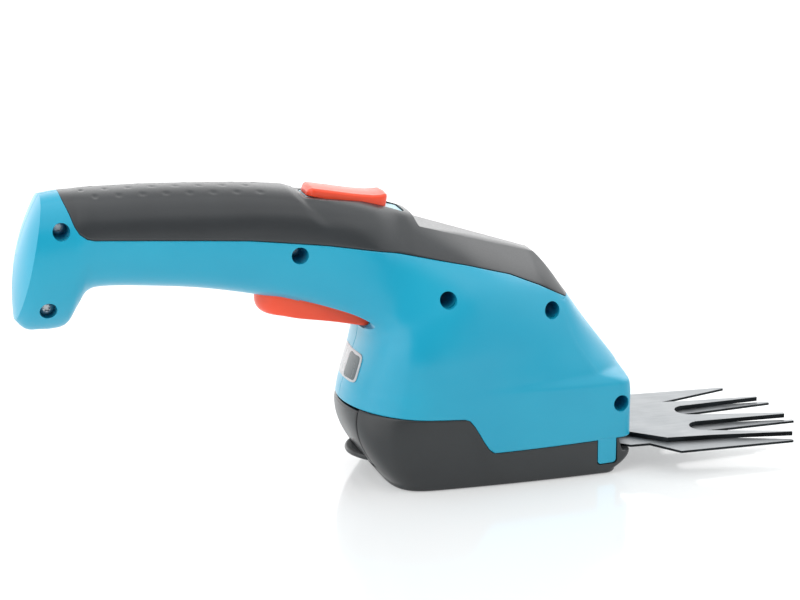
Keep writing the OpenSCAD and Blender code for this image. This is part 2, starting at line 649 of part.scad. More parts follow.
module right_housing() {
    color([0.26, 0.69, 0.81])
        difference() {
            union() {
                half_shell();
                half_ribs();
                tongue();
            }
            half_cuts();
            for (p = screw_pts) {
                bar(p[0], p[1], well_d, -body_w, -seat_y);
                bar(p[0], p[1], screw_d + 2 * run_fit, -body_w, over);
            }
        }
}
module left_housing() {
    color([0.26, 0.69, 0.81])
        mirror([0, 1, 0])
            difference() {
                union() {
                    half_shell();
                    half_ribs();
                    tongue();
                }
                half_cuts();
                for (p = screw_pts)
                    bar(p[0], p[1], screw_d, -seat_y - over, over);
            }
}
module housing_screws() {
    color([0.7, 0.71, 0.73])
        for (p = screw_pts) {
            bar(p[0], p[1], screw_d, -seat_y, seat_y);
            difference() {
                bar(p[0], p[1], head_d, -seat_y - head_d * 0.4, -seat_y);
                bar(p[0], p[1], head_d * 0.4, -seat_y - head_d, -seat_y - head_d * 0.2);
            }
        }
}

// slider track frame: along the slope, bed at zero
track_x = px(track_shares[0]);
track_z = pz(track_shares[1]);
module on_track() {
    translate([track_x, 0, track_z])
        rotate([0, track_slope, 0])
            children();
}
slider_x0 = -slider_len * 0.6;
track_x0 = slider_x0 - air * 2;
track_x1 = slider_x0 + slider_len + slider_travel + air * 2;
bed_t = 1.6;
stem_w = 5;
stem_l = 9;
stem_h = 7;
slider_coil_r = 1.9;
slider_coil_long = slider_travel + stem_w;
slider_coil_x = slider_x0 + slider_len / 2 + stem_l / 2;

module grip_cover() {
    us = [for (u = row_shares) if (u > cover_row_shares[0] && u < cover_row_shares[1]) u];
    color([0.29, 0.3, 0.31])
        difference() {
            slab([for (u = us) cover_row(u, 0)], [for (u = us) cover_row(u, wall)]);
            // flat deck with a step behind it
            across(body_w)
                polygon([
                    [px(deck_step_shares[0]), deck_z(px(deck_step_shares[0]))],
                    [px(deck_step_shares[0]) - wall, pz(deck_step_shares[1])],
                    [px(deck_step_shares[0]) - wall, shell_h],
                    [nose_reach, shell_h],
                    [nose_reach, deck_z(nose_reach)],
                ]);
            on_track() {
                block([track_x0, -slider_w / 2 - air, -bed_t - wall],
                    [track_x1, slider_w / 2 + air, shell_h / 4]);
                // flat rim behind and beside the slider
                across(body_w)
                    polygon([
                        [slider_len * bezel_x_share, bezel_h[1]],
                        [track_x0 - wall / 2, bezel_h[0]],
                        [track_x0 - wall * 2, bezel_h[0] + wall],
                        [track_x0 - wall * 2, shell_h / 4],
                        [slider_len * bezel_x_share, shell_h / 4],
                    ]);
            }
        }
}
function cover_row(u, d) =
    let (t = seam_q(u))
    [for (j = [-cover_cols:cover_cols])
        let (p = skin(u, lerp(1, t, abs(j) / cover_cols), d)) [p[0], (j > 0 ? -1 : 1) * p[1], p[2]]];

module slider_bed() {
    color([0.62, 0.86, 0.93])
        on_track()
            difference() {
                union() {
                    block([track_x0 + air, -slider_w / 2, -bed_t], [track_x1 - air, slider_w / 2, 0]);
                    // tab that hooks under the cover
                    block([track_x0 - rib_t, -slider_w / 4, -bed_t * 1.8],
                        [track_x0 + rib_t, slider_w / 4, -bed_t]);
                    block([track_x0 + air, -slider_w / 4, -bed_t * 1.8],
                        [track_x0 + rib_t, slider_w / 4, -bed_t / 2]);
                    // lug that holds the spring
                    block([slider_coil_x + slider_coil_long, -stem_w / 2, -stem_h],
                        [slider_coil_x + slider_coil_long + bed_t, stem_w / 2, -bed_t / 2]);
                }
                block([slider_x0 + slider_len / 2 - stem_l / 2 - air, -stem_w / 2 - air, -shell_h],
                    [slider_x0 + slider_len / 2 + stem_l / 2 + slider_travel + air, stem_w / 2 + air, shell_h]);
            }
}
module lock_slider() {
    color([0.95, 0.34, 0.23])
        on_track() {
            intersection() {
                across(slider_w)
                    polygon([for (p = saddle_shares) [slider_x0 + p[0] * slider_len, air + p[1] * saddle_h]]);
                // crowned across
                translate([slider_x0 - over, 0, saddle_h * crown_share - slider_w * 1.2])
                    rotate([0, 90, 0])
                        cylinder(r = slider_w * 1.2, h = slider_len + 2 * over, $fn = round_fn);
            }
            block([slider_x0 + slider_len / 2 - stem_l / 2, -stem_w / 2, -stem_h],
                [slider_x0 + slider_len / 2 + stem_l / 2, stem_w / 2, air + saddle_h * 0.2]);
        }
}
module slider_spring() {
    color([0.75, 0.76, 0.78])
        on_track()
            translate([slider_coil_x, 0, -stem_h + slider_coil_r + spring_wire])
                rotate([0, 90, 0])
                    coil(slider_coil_r, slider_coil_long, 6, spring_wire);
}

// the trigger's plan has a round rear end
module trigger_plan(grow) {
    x = px(trigger_shares[0][0]) + trigger_w / 2;
    translate([x, 0, 0])
        cylinder(r = trigger_w / 2 + grow, h = shell_h, $fn = round_fn);
    block([x, -trigger_w, 0], [nose_reach, trigger_w, shell_h]);
}
module trigger() {
    color([0.95, 0.34, 0.23])
        difference() {
            union() {
                intersection() {
                    across(trigger_w)
                        polygon(side_points(trigger_shares));
                    trigger_plan(0);
                }
                // nib under the switch's plunger
                block([plunger_x - plunger_d, -plunger_d, trigger_pivot[1]],
                    [plunger_x + plunger_d, plunger_d, switch_at[1] - plunger_out - nib_air]);
            }
            bar(trigger_pivot[0], trigger_pivot[1], trigger_pin_d + 2 * run_fit, -trigger_w, trigger_w);
            // pocket of the return spring
            translate([coil_at[0], 0, coil_at[1] - wall])
                cylinder(d = 2 * coil_r + 4 * spring_wire, h = shell_h, $fn = round_fn);
        }
}
module trigger_pin() {
    color([0.75, 0.76, 0.78])
        bar(trigger_pivot[0], trigger_pivot[1], trigger_pin_d, -pin_reach, pin_reach);
}
module trigger_spring() {
    color([0.75, 0.76, 0.78])
        translate([coil_at[0], 0, coil_at[1] - wall])
            coil(coil_r, coil_long + wall, 7, spring_wire);
}
module switch_body() {
    color([0.12, 0.12, 0.13])
        difference() {
            block([switch_at[0] - switch_l / 2, -switch_t / 2, switch_at[1]],
                [switch_at[0] + switch_l / 2, switch_t / 2, switch_at[1] + switch_h]);
            translate([plunger_x, 0, switch_at[1] - over])
                cylinder(d = plunger_d + 2 * run_fit, h = switch_h * 0.75 + over, $fn = round_fn);
        }
}
module switch_plunger() {
    color([0.85, 0.2, 0.15])
        translate([plunger_x, 0, switch_at[1] - plunger_out])
            cylinder(d = plunger_d, h = plunger_out + switch_h * 0.3, $fn = round_fn);
}

module battery_cell() {
    color([0.2, 0.45, 0.3])
        translate([cell_x - cell_len, 0, cell_z])
            rotate([0, 90, 0]) {
                cylinder(d = cell_d, h = cell_len - sheet_t * 2, $fn = round_fn);
                cylinder(d = cell_d * 0.4, h = cell_len, $fn = round_fn);
            }
}
module contact(x) {
    block([x, -cell_d * 0.2, cell_z - cell_d * 0.3], [x + sheet_t, cell_d * 0.2, cell_z + cell_d * 0.3]);
}
module front_contact() {
    color([0.82, 0.82, 0.8])
        contact(cell_x);
}
module rear_contact() {
    color([0.82, 0.82, 0.8])
        contact(cell_x - cell_len - sheet_t);
}
module charge_socket() {
    color([0.15, 0.15, 0.16])
        translate([socket_x, 0, socket_z])
            difference() {
                cylinder(d = socket_d, h = socket_h, $fn = round_fn);
                translate([0, 0, -over])
                    cylinder(d = socket_bore, h = socket_h - sheet_t * 2 + over, $fn = round_fn);
            }
}
module control_board() {
    color([0.1, 0.38, 0.2]) {
        block([board_at[0] - board_len / 2, -board_w / 2, board_at[1]],
            [board_at[0] + board_len / 2, board_w / 2, board_at[1] + board_t]);
        translate([board_at[0] - board_len * 0.25, board_w * 0.2, board_at[1]])
            cylinder(d = board_w * 0.28, h = board_t + board_w * 0.3, $fn = round_fn);
        block([board_at[0] + board_len * 0.05, -board_w * 0.3, board_at[1]],
            [board_at[0] + board_len * 0.3, board_w * 0.1, board_at[1] + board_t * 3]);
    }
}

module motor_can() {
    color([0.72, 0.73, 0.75])
        translate([motor_x, 0, motor_z])
            difference() {
                cylinder(d = motor_d, h = motor_len, $fn = round_fn);
                translate([0, 0, motor_plate_t])
                    cylinder(d = motor_d - 2 * sheet_t * 2, h = motor_len, $fn = round_fn);
                translate([0, 0, -over])
                    cylinder(d = shaft_d + 2 * run_fit, h = motor_len, $fn = round_fn);
            }
}
module motor_cap() {
    color([0.13, 0.13, 0.14])
        translate([motor_x, 0, motor_z + motor_len])
            difference() {
                union() {
                    cylinder(d = motor_d, h = wall, $fn = round_fn);
                    translate([0, 0, -wall])
                        cylinder(d = motor_d - 4 * sheet_t, h = wall * 2, $fn = round_fn);
                    for (s = [-1, 1])
                        block([-sheet_t, s * motor_d * 0.3 - wall / 2, 0],
                            [sheet_t, s * motor_d * 0.3 + wall / 2, wall * 3]);
                }
                translate([0, 0, -motor_len])
                    cylinder(d = shaft_d + 2 * run_fit, h = motor_len * 2, $fn = round_fn);
            }
}
module motor_shaft() {
    color([0.8, 0.8, 0.82])
        translate([motor_x, 0, gear2_z - air]) {
            cylinder(d = shaft_d, h = motor_z + motor_len + wall - gear2_z + air * 2, $fn = round_fn);
            translate([0, 0, motor_z + motor_plate_t + wall - gear2_z])
                cylinder(d = motor_d * 0.62, h = motor_len - motor_plate_t - 3 * wall, $fn = round_fn);
        }
}
module motor_pinion() {
    color([0.83, 0.68, 0.35])
        translate([motor_x, 0, gear2_z])
            difference() {
                linear_extrude(gear_face)
                    gear2d(pinion_teeth, 0);
                translate([0, 0, -over])
                    cylinder(d = shaft_d, h = gear_face + 2 * over, $fn = round_fn);
            }
}
// phases: a tooth of one wheel faces a gap of the next along X
function gap_phase(teeth) = 180 + 180 / teeth;
module idler_gear() {
    color([0.92, 0.9, 0.84])
        translate([idler_x, 0, gear_z])
            difference() {
                union() {
                    linear_extrude(gear_face + step_air)
                        gear2d(pinion_teeth, 0);
                    translate([0, 0, gear2_z - gear_z])
                        linear_extrude(gear_face)
                            gear2d(wheel_teeth, gap_phase(wheel_teeth));
                }
                translate([0, 0, -over])
                    cylinder(d = axle_d + 2 * run_fit, h = gear_face * 4, $fn = round_fn);
            }
}
module idler_axle() {
    color([0.8, 0.8, 0.82])
        translate([idler_x, 0, plate_z]) {
            cylinder(d = axle_d, h = motor_plate_z + motor_plate_t - plate_z, $fn = round_fn);
            translate([0, 0, plate_t])
                cylinder(d = axle_d * 2, h = bush_flange_h, $fn = round_fn);
        }
}
module crank_gear() {
    color([0.92, 0.9, 0.84])
        translate([crank_x, 0, 0]) {
            translate([0, 0, gear_z])
                linear_extrude(gear_face)
                    gear2d(wheel_teeth, gap_phase(wheel_teeth));
            translate([0, 0, plate_z - air / 2])
                cylinder(d = hub_d, h = gear_z - plate_z + air, $fn = round_fn);
            translate([0, 0, gear_z])
                cylinder(d = journal_d, h = motor_plate_z + motor_plate_t - gear_z, $fn = round_fn);
            rotate(crank_rest)
                translate([crank_throw, 0, upper_z + air / 2])
                    cylinder(d = crank_pin_d, h = plate_z - upper_z, $fn = round_fn);
        }
}
module crank_roller() {
    color([0.78, 0.79, 0.8])
        translate([crank_x, 0, 0])
            rotate(crank_rest)
                translate([crank_throw, 0, upper_z + air / 2])
                    difference() {
                        cylinder(d = roller_d, h = upper_t + air, $fn = round_fn);
                        translate([0, 0, -over])
                            cylinder(d = crank_pin_d, h = upper_t + air + 2 * over, $fn = round_fn);
                    }
}
module crank_bush() {
    color([0.75, 0.55, 0.3])
        translate([crank_x, 0, plate_z])
            difference() {
                union() {
                    cylinder(d = bush_d, h = plate_t, $fn = round_fn);
                    translate([0, 0, plate_t])
                        cylinder(d = bush_d + 2 * bush_flange, h = bush_flange_h, $fn = round_fn);
                }
                translate([0, 0, -over])
                    cylinder(d = hub_bore, h = plate_t * 3, $fn = round_fn);
            }
}
plate_pts = [for (p = plate_shares) [px(p[0]), p[1] * body_w / 2]];
function mirrored(half) = concat(half, [for (i = [len(half) - 1:-1:0]) [half[i][0], -half[i][1]]]);
module gear_plate() {
    color([0.66, 0.68, 0.7])
        difference() {
            union() {
                translate([0, 0, plate_z])
                    linear_extrude(plate_t)
                        polygon(mirrored(plate_pts));
                for (p = plate_posts)
                    translate([p[0], p[1], plate_z])
                        cylinder(d = post_d, h = motor_plate_z - plate_z, $fn = round_fn);
                for (p = blade_post_pts)
                    translate([p[0], p[1], lower_top])
                        cylinder(d = blade_post_d, h = plate_z - lower_top + plate_t, $fn = round_fn);
            }
            for (p = plate_posts)
                translate([p[0], p[1], motor_plate_z - plate_screw_d * 3])
                    cylinder(d = plate_screw_d, h = plate_screw_d * 3 + over, $fn = round_fn);
            for (p = blade_post_pts)
                translate([p[0], p[1], blade_z])
                    cylinder(d = plate_screw_d, h = plate_screw_d * 2, $fn = round_fn);
            for (p = pillar_pts)
                translate([p[0], p[1], 0])
                    cylinder(d = plate_screw_d + 2 * run_fit, h = shell_h, $fn = round_fn);
            translate([crank_x, 0, 0])
                cylinder(d = bush_d, h = plate_top + over, $fn = round_fn);
            translate([idler_x, 0, 0])
                cylinder(d = axle_d, h = plate_top + over, $fn = round_fn);
            translate([pivot_x, 0, 0])
                cylinder(d = stud_d, h = plate_top + over, $fn = round_fn);
        }
}
module motor_plate() {
    x0 = plate_posts[2][0] - post_d / 2;
    x1 = crank_x + journal_d * 1.2;
    color([0.66, 0.68, 0.7])
        difference() {
            union() {
                translate([0, 0, motor_plate_z])
                    linear_extrude(motor_plate_t)
                        polygon(mirrored([
                            [x0, wheel_r + post_d * 0.85], [motor_x, wheel_r + post_d * 0.85],
                            [plate_posts[0][0] - post_d / 2, wheel_r + post_d * 1.5],
                            [plate_posts[0][0] + post_d / 2, wheel_r + post_d * 1.5], [x1, journal_d * 1.2],
                        ]));
            }
            for (p = plate_posts)
                translate([p[0], p[1], motor_plate_z - over])
                    cylinder(d = plate_screw_d + 2 * run_fit, h = motor_plate_t + 2 * over, $fn = round_fn);
            translate([motor_x, 0, motor_plate_z - over])
                cylinder(d = shaft_d * 3, h = motor_plate_t + 2 * over, $fn = round_fn);
            translate([idler_x, 0, motor_plate_z - over])
                cylinder(d = axle_d, h = motor_plate_t + 2 * over, $fn = round_fn);
            translate([crank_x, 0, motor_plate_z - over])
                cylinder(d = journal_d + 2 * run_fit, h = motor_plate_t + 2 * over, $fn = round_fn);
        }
}
module small_screw(long) {
    cylinder(d = plate_screw_d, h = long, $fn = round_fn);
    translate([0, 0, -plate_head_h])
        cylinder(d = plate_head_d, h = plate_head_h, $fn = round_fn);
}
module motor_plate_screws() {
    color([0.7, 0.71, 0.73])
        for (p = plate_posts)
            translate([p[0], p[1], motor_plate_z + motor_plate_t])
                mirror([0, 0, 1])
                    small_screw(plate_screw_d * 3);
}
module plate_screws() {
    color([0.7, 0.71, 0.73])
        for (p = pillar_pts)
            translate([p[0], p[1], plate_z])
                small_screw(plate_screw_d * 3);
}

function arc(c, r, a0, a1, n) = [for (i = [0:n]) let (a = lerp(a0, a1, i / n)) c + r * [cos(a), sin(a)]];
lower_len = lower_reach - lower_root_x;
function lower_pt(p) = [lower_root_x + p[0] * lower_len, p[1] * cut_w / 2];
module lower_blade() {
    side = [for (p = lower_shares) lower_pt(p)];
    mid = [for (p = lower_mid_shares) lower_pt(p)];
    a = side[len(side) - 1];
    b = mid[0];
    e = mid[len(mid) - 1];
    notch = [for (i = [1:7])
        let (t = 180 * i / 8)
        [lerp(a[0], lower_pt([lower_notch_share, 0])[0], sin(t)), lerp((a[1] + b[1]) / 2, a[1], cos(t))]];
    root = [for (i = [1:4])
        let (t = 90 * i / 4) [lerp(e[0], lower_pt([lower_notch_share, 0])[0], sin(t)), e[1] * cos(t)]];
    half = concat(side, notch, mid, root);
    color([0.76, 0.77, 0.78])
        difference() {
            translate([0, 0, blade_z])
                linear_extrude(lower_t)
                    polygon(concat(half, [for (i = [len(half) - 2:-1:0]) [half[i][0], -half[i][1]]]));
            translate([pivot_x, 0, 0])
                cylinder(d = pivot_d, h = shell_h, $fn = round_fn);
            for (p = blade_post_pts)
                translate([p[0], p[1], 0])
                    cylinder(d = plate_screw_d + 2 * run_fit, h = shell_h, $fn = round_fn);
        }
}
fork_w = roller_d + 2 * fork_play;
fork_wall = 3.2;
hub_w = 24;
module upper_blade() {
    side = [for (p = upper_shares) [p[0] * upper_reach, p[1] * upper_w / 2]];
    mid = [for (p = upper_mid_shares) [p[0] * upper_reach, p[1] * upper_w / 2]];
    a = side[len(side) - 1];
    b = mid[0];
    notch = [for (i = [1:9])
        let (t = 180 * i / 10)
        [lerp(a[0], upper_notch_share * upper_reach, sin(t)), lerp((a[1] + b[1]) / 2, a[1], cos(t))]];
    half = concat(side, notch, mid);
    tail = crank_arm + crank_throw + roller_d / 2 + air;
    color([0.74, 0.75, 0.76])
        translate([pivot_x, 0, upper_z])
            rotate(-rest_swing)
                difference() {
                    union() {
                        linear_extrude(upper_t)
                            polygon(mirrored(half));
                        cylinder(d = hub_w, h = upper_t, $fn = round_fn);
                        block([-tail, -fork_w / 2 - fork_wall, 0], [0, fork_w / 2 + fork_wall, upper_t]);
                    }
                    translate([0, 0, -over])
                        cylinder(d = pivot_d + 2 * run_fit, h = upper_t + 2 * over, $fn = round_fn);
                    block([-tail - over, -fork_w / 2, -over],
                        [-crank_arm + crank_throw + roller_d / 2 + air, fork_w / 2, upper_t + over]);
                }
}
module blade_bolt() {
    color([0.7, 0.71, 0.73])
        translate([pivot_x, 0, blade_z - bolt_head_h]) {
            cylinder(d = bolt_head_d, h = bolt_head_h, $fn = round_fn);
            cylinder(d = pivot_d, h = bolt_head_h + plate_z - blade_z, $fn = round_fn);
            cylinder(d = stud_d, h = bolt_head_h + plate_top + nut_h - blade_z, $fn = round_fn);
        }
}
module blade_washer() {
    color([0.7, 0.71, 0.73])
        translate([pivot_x, 0, upper_top + washer_air])
            difference() {
                cylinder(d = washer_d, h = plate_z - upper_top - washer_air, $fn = round_fn);
                translate([0, 0, -over])
                    cylinder(d = pivot_d, h = plate_t * 2, $fn = round_fn);
            }
}
module blade_nut() {
    color([0.7, 0.71, 0.73])
        translate([pivot_x, 0, plate_top])
            difference() {
                cylinder(d = nut_d, h = nut_h, $fn = 6);
                translate([0, 0, -over])
                    cylinder(d = stud_d, h = nut_h + 2 * over, $fn = round_fn);
            }
}
module blade_screws() {
    color([0.7, 0.71, 0.73])
        for (p = blade_post_pts)
            translate([p[0], p[1], blade_z])
                small_screw(plate_screw_d * 2);
}

// base cover: rows from the seam down to the floor
stern_share = 0.235;
stern_round = 4.2;
base_row_shares = [0, 0.35, 0.7, 0.9];
base_nose = 7;
base_front_share = 0.9;
lip_share = 0.955;
function base_top(x) = x > px(lip_share) ? lip_z : seam_drop(x);
function base_point(t, q, d = 0) =
    let (
        r = station(last), k = plan(q, lerp(r[8], base_front_share, t), lerp(2, stern_round, t)),
        rear = lerp(-body_rear, -body_rear + stern_share * body_rear, t * t),
        front = nose_reach - base_nose * t * t, x = lerp(rear + d, front - d, k[0]),
        x0 = lerp(-body_rear + d, nose_reach - d, k[0]),
        low = d > 0 ? base_floor + pad_h : base_edge + pad_h
    )
    [x, -k[1] * (lerp(r[4], base_w / 2, t) - d), lerp(base_top(x0), low, t)];
function base_bottom(q, z, inset) =
    let (p = base_point(1, q)) [lerp(p[0], (nose_reach - body_rear) / 2, inset), p[1] * (1 - inset), z];
function ring_of(f) = concat(f, [for (i = [len(f) - 2:-1:1]) [f[i][0], -f[i][1], f[i][2]]]);
module base_shell() {
    outer = concat([for (t = concat(base_row_shares, 1)) ring_of([for (q = col_shares) base_point(t, q)])],
        [ring_of([for (q = col_shares) base_bottom(q, pad_h, edge_share)])]);
    inner = [for (t = concat(base_row_shares, 1)) ring_of([for (q = col_shares) base_point(t, q, wall)])];
    m = len(outer[0]);
    no = len(outer);
    ni = len(inner);
    pts = concat(flat3(outer), flat3(inner));
    h = no * m;
    faces = [
        for (i = [0:no - 2], j = [0:m - 1])
            each quad(i * m + j, i * m + (j + 1) % m, (i + 1) * m + (j + 1) % m, (i + 1) * m + j, j >= m / 2),
        for (i = [0:ni - 2], j = [0:m - 1])
            each quad(h + i * m + j, h + (i + 1) * m + j, h + (i + 1) * m + (j + 1) % m, h + i * m + (j + 1) % m,
                j >= m / 2),
        for (j = [0:m - 1]) each quad(j, h + j, h + (j + 1) % m, (j + 1) % m, j >= m / 2),
        for (j = [1:m - 2]) [(no - 1) * m, (no - 1) * m + j, (no - 1) * m + j + 1],
        for (j = [1:m - 2]) [h + (ni - 1) * m, h + (ni - 1) * m + j + 1, h + (ni - 1) * m + j],
    ];
    polyhedron(pts, [for (f = faces) if (keep(pts, f)) f]);
}
latch_air = 0.5;
tab_shares = [[0.1, 0.4], [0.94, 0.5], [1, 0.2], [0.95, -0.2], [0.1, -0.55]];
tab_r = latch_w / 2;
latch_gap = 1.1;
hinge_x = -body_rear + wall + latch_pin_d * 2.4;
hinge_z = seam_rear_z - latch_gap - latch_pin_d * 1.2;
knuckle_d = latch_pin_d + wall;
knuckle_reach = latch_pin_d * 2.4 + wall / 4;
ear_y = latch_w * 0.27;
latch_low = tab_z() - rib_t;
function tab_z() = seam_rear_z * 0.3;
edge_share = 0.02;
pad_share = 0.1;
ear_foot_shares = [0.56, 0.68];
module base_cover() {
    color([0.28, 0.29, 0.3])
        difference() {
            union() {
                difference() {
                    base_shell();
                    across(latch_w)
                        polygon(concat(
                            [[-body_rear * 2, shell_h], [-body_rear * 2, latch_low], [latch_back(0.95), latch_low]],
                            [for (t = [0.8, 0.6, 0.4, 0.2, 0]) [latch_back(t), base_point(t, 0)[2]]],
                            [[latch_back(0), shell_h]]));
                }
                // rest face
                linear_extrude(pad_h + base_floor / 2)
                    polygon([for (p = ring_of([for (q = col_shares) base_bottom(q, 0, pad_share)])) [p[0], p[1]]]);
                for (s = [-1, 1])
                    translate([0, s * (ear_y + rib_t / 2 + air / 2), 0])
                        across(rib_t)
                            polygon([
                                [hinge_x - latch_pin_d * 0.9, hinge_z - latch_pin_d],
                                [hinge_x - latch_pin_d * 0.9, hinge_z + latch_pin_d],
                                [hinge_x + latch_pin_d * 0.9, hinge_z + latch_pin_d],
                                [ear_foot_shares[0] * -body_rear, base_floor],
                                [ear_foot_shares[1] * -body_rear, base_floor],
                            ]);
            }
            for (s = [0, 1])
                mirror([0, s, 0])
                    tongue(air);
            bar(hinge_x, hinge_z, latch_pin_d, -ear_y - rib_t - air, ear_y + rib_t + air);
        }
}
module latch_lever() {
    color([0.28, 0.29, 0.3])
        difference() {
            union() {
                slab([for (t = latch_row_shares) [for (j = [-8:8]) latch_point(t, j / 8, 0)]],
                    [for (t = latch_row_shares) [for (j = [-8:8]) latch_point(t, j / 8, wall * 0.8)]]);
                // thumb tab, a crescent in plan
                intersection() {
                    across(latch_w - 2 * latch_air)
                        polygon([for (p = tab_shares)
                            [tab_x() + wall - p[0] * (tab_len + wall), tab_z() + p[1] * rib_t]]);
                    translate([tab_x() - tab_len + tab_r, 0, 0])
                        cylinder(r = tab_r, h = shell_h, $fn = round_fn);
                }
                bar(hinge_x, hinge_z, knuckle_d, -ear_y + air / 2, ear_y - air / 2);
                across(2 * ear_y - air)
                    polygon([
                        [hinge_x - knuckle_reach, hinge_z - rib_t],
                        [hinge_x - knuckle_reach, hinge_z + rib_t * 0.4],
                        [hinge_x, hinge_z + rib_t * 0.4],
                        [hinge_x, hinge_z - rib_t * 0.4],
                    ]);
            }
            bar(hinge_x, hinge_z, latch_pin_d + 2 * run_fit, -latch_w, latch_w);
        }
}
function tab_x() = base_point(0.78, 0)[0];
function latch_back(t) = latch_point(t, 1, wall)[0] + air;
latch_row_shares = [0.035, 0.3, 0.55, 0.78];
function latch_point(t, k, d) =
    let (
        half = lerp(body_w, base_w, t) / 2,
        a = asin(pow((latch_w / 2 - latch_air) / half, lerp(2, stern_round, t) / 2)) / 90,
        p = base_point(t, plan_q_shares[0] * a * abs(k), d)
    )
    [p[0], (k < 0 ? 1 : -1) * abs(p[1]), p[2]];
module latch_pin() {
    color([0.75, 0.76, 0.78])
        bar(hinge_x, hinge_z, latch_pin_d, -ear_y - rib_t, ear_y + rib_t);
}

// blank plate across the rear of the body
label_u_shares = [15.4, 18.1];
label_q_share = 0.078;
function label_row(u, d) =
    [for (j = [-4:4])
        let (p = skin(u, label_q_share * abs(j) / 4, d)) [p[0], (j < 0 ? -1 : 1) * p[1], p[2]]];
module label_plate() {
    us = [for (i = [0:3]) lerp(label_u_shares[0], label_u_shares[1], i / 3)];
    color([0.93, 0.94, 0.94])
        slab([for (u = us) label_row(u, -label_t)], [for (u = us) label_row(u, -label_lift)]);
}

// insulated leads
lead_d = 1.6;
lead_shares = [[-0.071, 0.222, 0.828], [0.047, 0.278, 0.781]];
module lead(pts) {
    n = len(pts) - 1;
    path = [for (i = [0:n * 4])
        let (k = min(floor(i / 4), n - 1), t = i / 4 - k)
        spline(pts[max(k - 1, 0)], pts[k], pts[k + 1], pts[min(k + 2, n)], t)];
    tube(path, lead_d / 2, [0.1, 1, 0.2]);
}
module battery_leads() {
    color([0.75, 0.1, 0.1])
        lead([
            [cell_x + sheet_t + lead_d / 2, 0, cell_z + cell_d * 0.22],
            [cell_x + cell_d * 0.33, 0, cell_z + cell_d * 0.43],
            [px(lead_shares[0][0]), handle_w * lead_shares[0][1], pz(lead_shares[0][2])],
            [px(lead_shares[1][0]), handle_w * lead_shares[1][1], pz(lead_shares[1][2])],
            [board_at[0] - board_len / 2, handle_w * lead_shares[1][1], board_at[1] + board_t + lead_d / 2],
        ]);
}
module motor_leads() {
    color([0.12, 0.12, 0.12])
        for (s = [-1, 1])
            lead([
                [motor_x - sheet_t - lead_d / 2, s * motor_d * 0.3, motor_z + motor_len + wall * 2],
                [motor_x - motor_d * 0.217, s * motor_d * 0.362, motor_z + motor_len + motor_d * 0.29],
                [motor_x - motor_d * 0.326, s * motor_d * 0.326, board_at[1] - lead_d / 2],
            ]);
}

right_housing();
left_housing();
housing_screws();
grip_cover();
slider_bed();
lock_slider();
slider_spring();
trigger();
trigger_pin();
trigger_spring();
switch_body();
switch_plunger();
battery_cell();
front_contact();
rear_contact();
charge_socket();
control_board();
motor_can();
motor_cap();
motor_shaft();
motor_pinion();
idler_gear();
idler_axle();
crank_gear();
crank_roller();
crank_bush();
gear_plate();
motor_plate();
motor_plate_screws();
plate_screws();
lower_blade();
upper_blade();
blade_bolt();
blade_washer();
blade_nut();
blade_screws();
base_cover();
latch_lever();
latch_pin();
label_plate();
battery_leads();
motor_leads();
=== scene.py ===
import bpy
import bmesh
from math import asin, copysign, cos, dist, hypot, pi, radians, sin, sqrt
from mathutils import Matrix, Vector


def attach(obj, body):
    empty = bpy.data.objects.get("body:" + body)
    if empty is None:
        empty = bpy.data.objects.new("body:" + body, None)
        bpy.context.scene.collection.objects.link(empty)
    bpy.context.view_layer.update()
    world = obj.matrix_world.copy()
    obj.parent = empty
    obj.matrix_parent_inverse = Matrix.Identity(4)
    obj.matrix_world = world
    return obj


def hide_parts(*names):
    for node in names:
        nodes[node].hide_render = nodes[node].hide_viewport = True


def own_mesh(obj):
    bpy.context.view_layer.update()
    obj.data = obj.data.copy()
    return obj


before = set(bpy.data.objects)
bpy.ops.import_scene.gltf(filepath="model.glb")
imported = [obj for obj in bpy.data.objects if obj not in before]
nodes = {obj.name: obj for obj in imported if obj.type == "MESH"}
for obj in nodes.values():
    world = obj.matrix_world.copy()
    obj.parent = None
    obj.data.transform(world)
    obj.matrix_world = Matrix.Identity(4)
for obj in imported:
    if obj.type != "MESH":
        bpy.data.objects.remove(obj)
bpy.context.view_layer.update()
mm = 0.001
print("frame loaded:", len(nodes), "nodes")


# small helpers

def lerp(a, b, t):
    return a + (b - a) * t


def mix(p, q, t):
    return tuple(lerp(a, b, t) for a, b in zip(p, q))


def ease(x, a, b):
    t = min(max((x - a) / (b - a), 0), 1)
    return t * t * (3 - 2 * t)


def linear(hexText):  # sRGB hex to linear colour
    parts = [int(hexText[i:i + 2], 16) / 255 for i in (1, 3, 5)]
    return tuple(c / 12.92 if c <= 0.04045 else ((c + 0.055) / 1.055) ** 2.4 for c in parts) + (1,)


def halve(low, high, isLow, times=18):  # narrows a place down by bisection
    for _ in range(times):
        middle = (low + high) / 2
        low, high = (middle, high) if isLow(middle) else (low, middle)
    return low, high


def fill(tree, node, inputs):
    for key, value in inputs.items():
        if isinstance(value, bpy.types.NodeSocket):
            tree.links.new(value, node.inputs[key])
        else:
            node.inputs[key].default_value = value


def addNode(tree, kind, settings=None, inputs=None):
    node = tree.nodes.new(kind)
    for name, value in (settings or {}).items():
        setattr(node, name, value)
    fill(tree, node, inputs or {})
    return node


def startMaterial(name):  # with its tree and the place on the object
    material = bpy.data.materials.new(name)
    material.use_nodes = True
    tree = material.node_tree
    return material, tree, addNode(tree, "ShaderNodeTexCoord").outputs["Object"]


def noise(tree, place, sizeMm, detail):  # noise with cells of a real size
    return addNode(tree, "ShaderNodeTexNoise", inputs={
        "Vector": place, "Scale": 1 / (sizeMm * mm), "Detail": detail}).outputs["Fac"]


def ranged(tree, value, low, high, start=0, end=1):  # start to end becomes low to high
    return addNode(tree, "ShaderNodeMapRange", inputs={
        0: value, 1: start, 2: end, 3: low, 4: high}).outputs[0]


